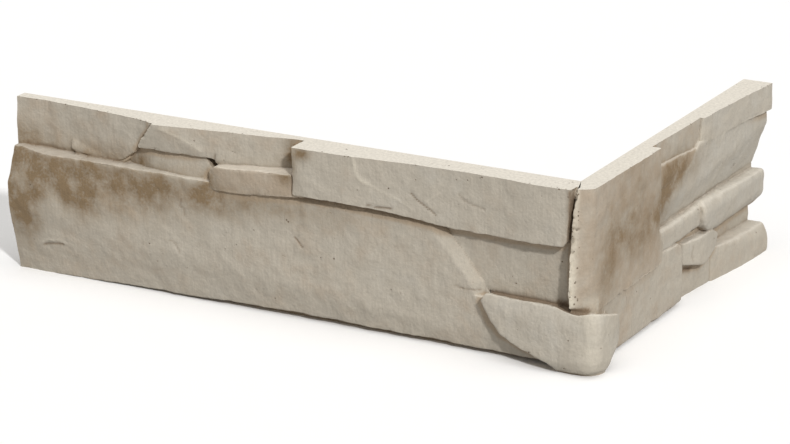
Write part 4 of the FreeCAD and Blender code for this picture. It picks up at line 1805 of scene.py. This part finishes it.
class Nodes:
    """Adds nodes to one material or world."""

    def __init__(self, owner: bpy.types.Material | bpy.types.World) -> None:
        """Start with an empty tree.

        Args:
            owner: Material or world that gets the nodes.
        """
        owner.use_nodes = True
        self.tree = owner.node_tree
        self.tree.nodes.clear()

    def add(self, kind: str, settings: dict | None = None, inputs: dict | None = None,
            output: int | str = 0) -> Value | None:
        """Add one node, with its settings first and then its values and links.

        Args:
            kind: Type of the node.
            settings: Properties by name.
            inputs: Numbers, colours or other values by socket name or number.
            output: Socket that is returned.

        Returns:
            The output socket as a value, or None for a node without outputs.
        """
        node = self.tree.nodes.new(kind)
        for name, setting in (settings or {}).items():
            setattr(node, name, setting)
        for name, value in (inputs or {}).items():
            if isinstance(value, Value):
                self.tree.links.new(value.socket, node.inputs[name])
            else:
                node.inputs[name].default_value = value
        return Value(self, node.outputs[output]) if node.outputs else None

    def mix(self, share: Value | float, first: Value | Colour, second: Value | Colour,
            blend: str = "MIX") -> Value:
        """Mix two colours: the first times what is left of the share, plus the second times it.

        Args:
            share: Share of the second colour.
            first: Colour at a share of 0.
            second: Colour at a share of 1.
            blend: How the second colour goes over the first.

        Returns:
            The mixed colour.
        """
        settings = {"data_type": "RGBA", "blend_type": blend}
        inputs = {0: share, 6: opaque(first), 7: opaque(second)}
        return self.add("ShaderNodeMix", settings, inputs, output=2)

    def attribute(self, name: str) -> Value:
        """Named value of the mesh."""
        return self.add("ShaderNodeAttribute", {"attribute_name": name}, output="Fac")


def opaque(colour: Value | Colour) -> Value | tuple[float, ...]:
    """Colour with an alpha of 1, or the value as it is."""
    return colour if isinstance(colour, Value) else (*colour, 1.0)


@dataclass(frozen=True)
class StoneFinish:
    """Matt cast stone: beige-grey brushed faces, cream heads, paler ledges that are partly cream
    and partly painted light from above, brown stains, and painted shade in hollows and under
    overhangs.

    Attributes:
        face: Colour of the faces.
        cool: Colour of the greyer stones.
        warm: Colour of the browner stones.
        stain_and_shade: Colour of the stains, and of the painted shadow beside the long block's
            end.
        overhang_shade: Colour of the painted shade under overhangs, away from the key light.
        wear_and_highlight: Colour of worn edges and veins, and of the painted highlight on the
            rock's arris.
        cream_and_top_light: Colour of the head, and of the ledges, which are partly cream and
            partly painted light from above.
        dirt_and_shade: Colour of dirt in joints and pores, and of painted shade in hollows, cracks
            and cast shadows.
        cement: Colour of the back and the bed.
        shares: Greatest share of the colours that named values lay over the faces, in order.
        mottle: Mean strength of the stains, and how patches and grain change it.
        tones: Mean brightness, and how streaks, grain and clouds change it.
        head_grain: How much more the grain changes the brightness of the head.
        roughness: Roughness of the stone.
        specular: Strength of its reflection.
        streaks: Brush marks for each metre, across and upright.
        noises: Cells for each metre and detail of the grain, the clouds, the patches and what
            makes pores rare.
        pores: Pore cells for each metre.
        pore_size: Share of its cell where a pore's rim starts and ends.
        pore_onset: Frequency at which pores start, and at which all of them show.
        heights: Height of grain, streaks, patches and pores for each unit of the relief.
        relief: Height of the relief, in metres.
    """

    face: Colour = (0.464, 0.42, 0.349)
    cool: Colour = (0.488, 0.454, 0.392)
    warm: Colour = (0.42, 0.346, 0.265)
    # Colour of the stains, and of the painted shadow beside the long block's end
    stain_and_shade: Colour = (0.212, 0.146, 0.079)
    # Colour of the painted shade under overhangs
    overhang_shade: Colour = (0.37, 0.275, 0.18)
    # Colour of wear, and of the painted highlight on the rock's arris
    wear_and_highlight: Colour = (0.72, 0.66, 0.54)
    # Colour of the head, and of ledges painted paler partly as light from above
    cream_and_top_light: Colour = (0.752, 0.706, 0.62)
    # Colour of dirt, and of painted shade in hollows and cast shadows
    dirt_and_shade: Colour = (0.16, 0.105, 0.06)
    cement: Colour = (0.66, 0.62, 0.53)
    shares: tuple[tuple[str, float], ...] = (
        ("overhang_shade", 0.6), ("wear_and_highlight", 0.5), ("cream_and_top_light", 0.5), ("dirt_and_shade", 0.85),
    )
    mottle: tuple[float, float, float] = (0.92, 1.4, 1.0)
    tones: tuple[float, float, float, float] = (0.8, 0.12, 0.22, 0.06)
    head_grain: float = 0.3
    roughness: float = 0.9
    specular: float = 0.3
    streaks: tuple[float, float, float] = (700.0, 700.0, 95.0)
    noises: Pairs = ((620.0, 3.0), (38.0, 5.0), (120.0, 4.0), (160.0, 1.0))
    pores: float = 420.0
    pore_size: tuple[float, float] = (0.1, 0.28)
    pore_onset: tuple[float, float] = (0.67, 0.75)
    heights: tuple[float, float, float, float] = (1.0, 0.7, 0.6, 1.2)
    relief: float = 0.00033

    # Middle of a noise's values, and detail of the brush marks
    MIDDLE, STREAK_DETAIL = 0.5, 2.0
    # How strongly clouds and patches change a stone's tone
    CLOUD_TINT, PATCH_TINT = 1.8, 1.2
    # Greatest share of the stains' colour
    MOST_STAIN = 0.95
    # How much more often pores come on the rough edge, on the rim and on the head
    OFTEN_PITTED, OFTEN_RIM, OFTEN_HEAD = 0.6, 0.25, 0.03
    # Share of the worn colour on the rough edge, and of the dirt in pores
    PITTED_SHARE, PORE_SHARE = 0.5, 0.8

    def noise(self, nodes: Nodes, where: Value, scale: float, detail: float) -> Value:
        """Noise of a scale, in cells for each unit of the coordinates."""
        inputs = {"Vector": where, "Scale": scale, "Detail": detail}
        return nodes.add("ShaderNodeTexNoise", None, inputs)

    def belongs(self, nodes: Nodes, surface: Surface) -> Value:
        """1 on a surface and on those with a higher number; it turns half way to the one below."""
        return nodes.attribute("cast").ramp(surface.value - 0.6, surface.value - 0.4)

    def build(self) -> bpy.types.Material:
        """Make the material.

        Colours are laid one over the other: the stone's tone, stains with one painted shadow, what
        the named values tell with their painted shade and light, the head, the back, and pores. The
        brightness then multiplies them.

        Returns:
            The material.
        """
        material = bpy.data.materials.new("cast_stone_weathered")
        nodes = Nodes(material)
        where = nodes.add("ShaderNodeTexCoord", output="Object")
        brushed = nodes.add("ShaderNodeMapping", None, {"Vector": where, "Scale": self.streaks})
        streak = self.noise(nodes, brushed, 1.0, self.STREAK_DETAIL)
        grain, cloud, patch, rare = (self.noise(nodes, where, *size) for size in self.noises)
        clouds, patches, grains = (noise - self.MIDDLE for noise in (cloud, patch, grain))
        is_head, is_back = (self.belongs(nodes, kind) for kind in (Surface.HEAD, Surface.BACK))
        face = 1 - is_head
        pitted = nodes.attribute("pitted")

        tint = nodes.attribute("tint") + clouds * self.CLOUD_TINT + patches * self.PATCH_TINT
        colour = nodes.mix(tint.ramp(0.0, 1.0), self.face, self.warm)
        colour = nodes.mix((tint * -1).ramp(0.0, 1.0), colour, self.cool)
        mean, by_patch, by_grain = self.mottle
        mottle = mean + patches * by_patch + grains * by_grain
        stained = (nodes.attribute("stain_and_shade") * mottle).math("MINIMUM", self.MOST_STAIN, clamp=True)
        colour = nodes.mix(stained, colour, self.stain_and_shade)
        # Named values lay their colours over the faces: painted shade under overhangs, wear with a
        # painted highlight, ledges painted paler partly as light from above, and dirt with painted
        # shade
        for name, share in self.shares:
            colour = nodes.mix(nodes.attribute(name) * share, colour, getattr(self, name))
        colour = nodes.mix(is_head, colour, self.cream_and_top_light)
        colour = nodes.mix(is_back, colour, self.cement)

        cells = nodes.add("ShaderNodeTexVoronoi", None, {"Vector": where, "Scale": self.pores})
        often = rare + pitted * self.OFTEN_PITTED + nodes.attribute("rim") * self.OFTEN_RIM
        often = often + is_head * self.OFTEN_HEAD
        pore = (1 - cells.ramp(*self.pore_size)) * often.ramp(*self.pore_onset)
        colour = nodes.mix(pitted * face * self.PITTED_SHARE, colour, self.wear_and_highlight)
        colour = nodes.mix(pore * self.PORE_SHARE, colour, self.dirt_and_shade)

        mean, by_streak, by_grain, by_cloud = self.tones
        tone = mean + (streak * by_streak + grain * by_grain + cloud * by_cloud)
        tone = tone + is_head * grains * self.head_grain
        shade = nodes.add("ShaderNodeCombineColor", None, {0: tone, 1: tone, 2: tone})
        colour = nodes.mix(1.0, colour, shade, "MULTIPLY")

        of_grain, of_streak, of_patch, of_pore = self.heights
        height = grain * of_grain + streak * of_streak * face + patch * of_patch - pore * of_pore
        bump = nodes.add("ShaderNodeBump", None, {"Height": height, "Distance": self.relief})
        inputs = {
            "Base Color": colour, "Roughness": self.roughness, "Normal": bump,
            "Specular IOR Level": self.specular,
        }
        shader = nodes.add("ShaderNodeBsdfPrincipled", None, inputs)
        nodes.add("ShaderNodeOutputMaterial", None, {"Surface": shader})
        return material


@dataclass(frozen=True)
class Studio:
    """Floor, light and background.

    Attributes:
        floor_size: Half of the floor's side, in metres.
        floor_colour: Colour of the floor as the camera sees it.
        floor_bounce: Colour of the floor as the piece sees it.
        backdrop: Colour of the background as the camera sees it.
        sky: Colour of the light from all round.
        sky_strength: Strength of that light.
        key_from: Direction that the key light comes from.
        key: Strength of the key light, where pi lights a facing surface as it is written.
        key_spread: Spread of the key light, in degrees.
        top_from: Direction that the light from overhead comes from.
        top: Strength of the light from overhead.
        top_spread: Spread of the light from overhead, in degrees.
    """

    floor_size: float = 6.0
    floor_colour: Colour = (0.99, 0.99, 0.99)
    floor_bounce: Colour = (0.6, 0.6, 0.6)
    backdrop: Colour = (1.0, 1.0, 1.0)
    sky: Colour = (1.0, 0.965, 0.92)
    sky_strength: float = 0.31
    key_from: tuple[float, float, float] = KEY_FROM
    key: float = 0.64 * math.pi
    key_spread: float = 4.0
    top_from: tuple[float, float, float] = (0.2, -0.2, 1.0)
    top: float = 0.375 * math.pi
    top_spread: float = 60.0

    def seen(self, nodes: Nodes) -> Value:
        """1 for rays that show the background: from the camera, mirrored or let through.

        Args:
            nodes: Nodes that get the test.

        Returns:
            1 for such a ray, else 0.
        """
        camera, mirrored, through = (
            nodes.add("ShaderNodeLightPath", output=name)
            for name in ("Is Camera Ray", "Is Glossy Ray", "Is Transmission Ray")
        )
        return camera.math("MAXIMUM", mirrored).math("MAXIMUM", through)

    def floor(self) -> None:
        """Make the plain pale floor."""
        size = self.floor_size
        mesh = bpy.data.meshes.new("floor")
        corners = [(-size, -size, 0), (size, -size, 0), (size, size, 0), (-size, size, 0)]
        mesh.from_pydata(corners, [], [(0, 1, 2, 3)])
        material = bpy.data.materials.new("floor_paint")
        nodes = Nodes(material)
        colour = nodes.mix(self.seen(nodes), self.floor_bounce, self.floor_colour)
        shader = nodes.add("ShaderNodeBsdfDiffuse", None, {"Color": colour})
        nodes.add("ShaderNodeOutputMaterial", None, {"Surface": shader})
        mesh.materials.append(material)
        add_object("floor", mesh)

    def light(self, name: str, source: tuple[float, float, float], strength: float,
              spread: float) -> None:
        """Add one soft distant light.

        Args:
            name: Name of the light.
            source: Direction that it comes from.
            strength: Its strength.
            spread: Its spread, in degrees.
        """
        lamp = bpy.data.lights.new(name, "SUN")
        lamp.energy = strength
        lamp.angle = math.radians(spread)
        holder = add_object(name, lamp)
        holder.rotation_euler = Vector(source).to_track_quat("Z", "Y").to_euler()

    def world(self) -> None:
        """Make the white background and the light from all round."""
        world = bpy.data.worlds.new("studio")
        nodes = Nodes(world)
        sky, white = (
            nodes.add("ShaderNodeBackground", None, {"Color": opaque(colour), "Strength": strength})
            for colour, strength in ((self.sky, self.sky_strength), (self.backdrop, 1.0))
        )
        both = nodes.add("ShaderNodeMixShader", None, {0: self.seen(nodes), 1: sky, 2: white})
        nodes.add("ShaderNodeOutputWorld", None, {"Surface": both})
        bpy.context.scene.world = world

    def build(self) -> None:
        """Make floor, lights and background."""
        self.floor()
        self.light("key", self.key_from, self.key, self.key_spread)
        self.light("overhead", self.top_from, self.top, self.top_spread)
        self.world()
        bpy.context.scene.view_settings.view_transform = "Standard"


@dataclass(frozen=True)
class PhotoCamera:
    """Camera at the photo's viewing angle, solved from the piece's straight edges.

    Attributes:
        azimuth: Way round from the long leg's normal towards the short leg, in radians.
        elevation: Height of the view over the level, in radians.
        roll: Turn about the view's axis, in radians.
        distance: Way to the aim, in millimetres.
        focal: Focal length in pixels of the photo.
        photo_width: Width of the photo, in pixels.
        aim: Middle of the piece, in millimetres.
        off_centre: How far the aim lies to the right of it and above it in the view.
        sensor: Width of the sensor, in millimetres.
        nearest: Distance from which the camera sees, in metres.
    """

    azimuth: float = 0.502360
    elevation: float = 0.324496
    roll: float = -0.004611
    distance: float = 1724.25
    focal: float = 3201.2
    photo_width: float = 790.0
    aim: tuple[float, float, float] = (-75.0, 40.0, 50.0)
    off_centre: tuple[float, float] = (-49.0204, 4.1723)
    sensor: float = 36.0
    nearest: float = 0.05

    def build(self) -> None:
        """Make the camera and set it as the scene's.

        It looks along the line that the two angles give, and is then turned by the roll.
        """
        sin_az, cos_az = math.sin(self.azimuth), math.cos(self.azimuth)
        sin_el, cos_el = math.sin(self.elevation), math.cos(self.elevation)
        forward = Vector((-sin_az * cos_el, cos_az * cos_el, -sin_el))
        right = Vector((cos_az, sin_az, 0))
        up = right.cross(forward)
        aim = Vector(self.aim) + self.off_centre[0] * right + self.off_centre[1] * up
        sin_roll, cos_roll = math.sin(self.roll), math.cos(self.roll)
        turned_right = cos_roll * right + sin_roll * up
        turned_up = cos_roll * up - sin_roll * right
        axes = Matrix((turned_right, turned_up, -forward)).transposed().to_4x4()
        place = Matrix.Translation((aim - self.distance * forward) * METRE)
        data = bpy.data.cameras.new("photo_camera")
        data.sensor_fit = "HORIZONTAL"
        data.sensor_width = self.sensor
        data.lens = self.focal * self.sensor / self.photo_width
        data.clip_start = self.nearest
        camera = add_object("photo_camera", data)
        camera.matrix_world = place @ axes
        bpy.context.scene.camera = camera


def main() -> None:
    """Build the piece, its finish and the studio."""
    logging.basicConfig(level=logging.INFO, format="%(message)s")
    piece = CornerPiece().build()
    piece.data.materials.append(StoneFinish().build())
    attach(piece, BODY)
    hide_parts(NODE)
    Studio().build()
    PhotoCamera().build()


if __name__ == "__main__":
    main()
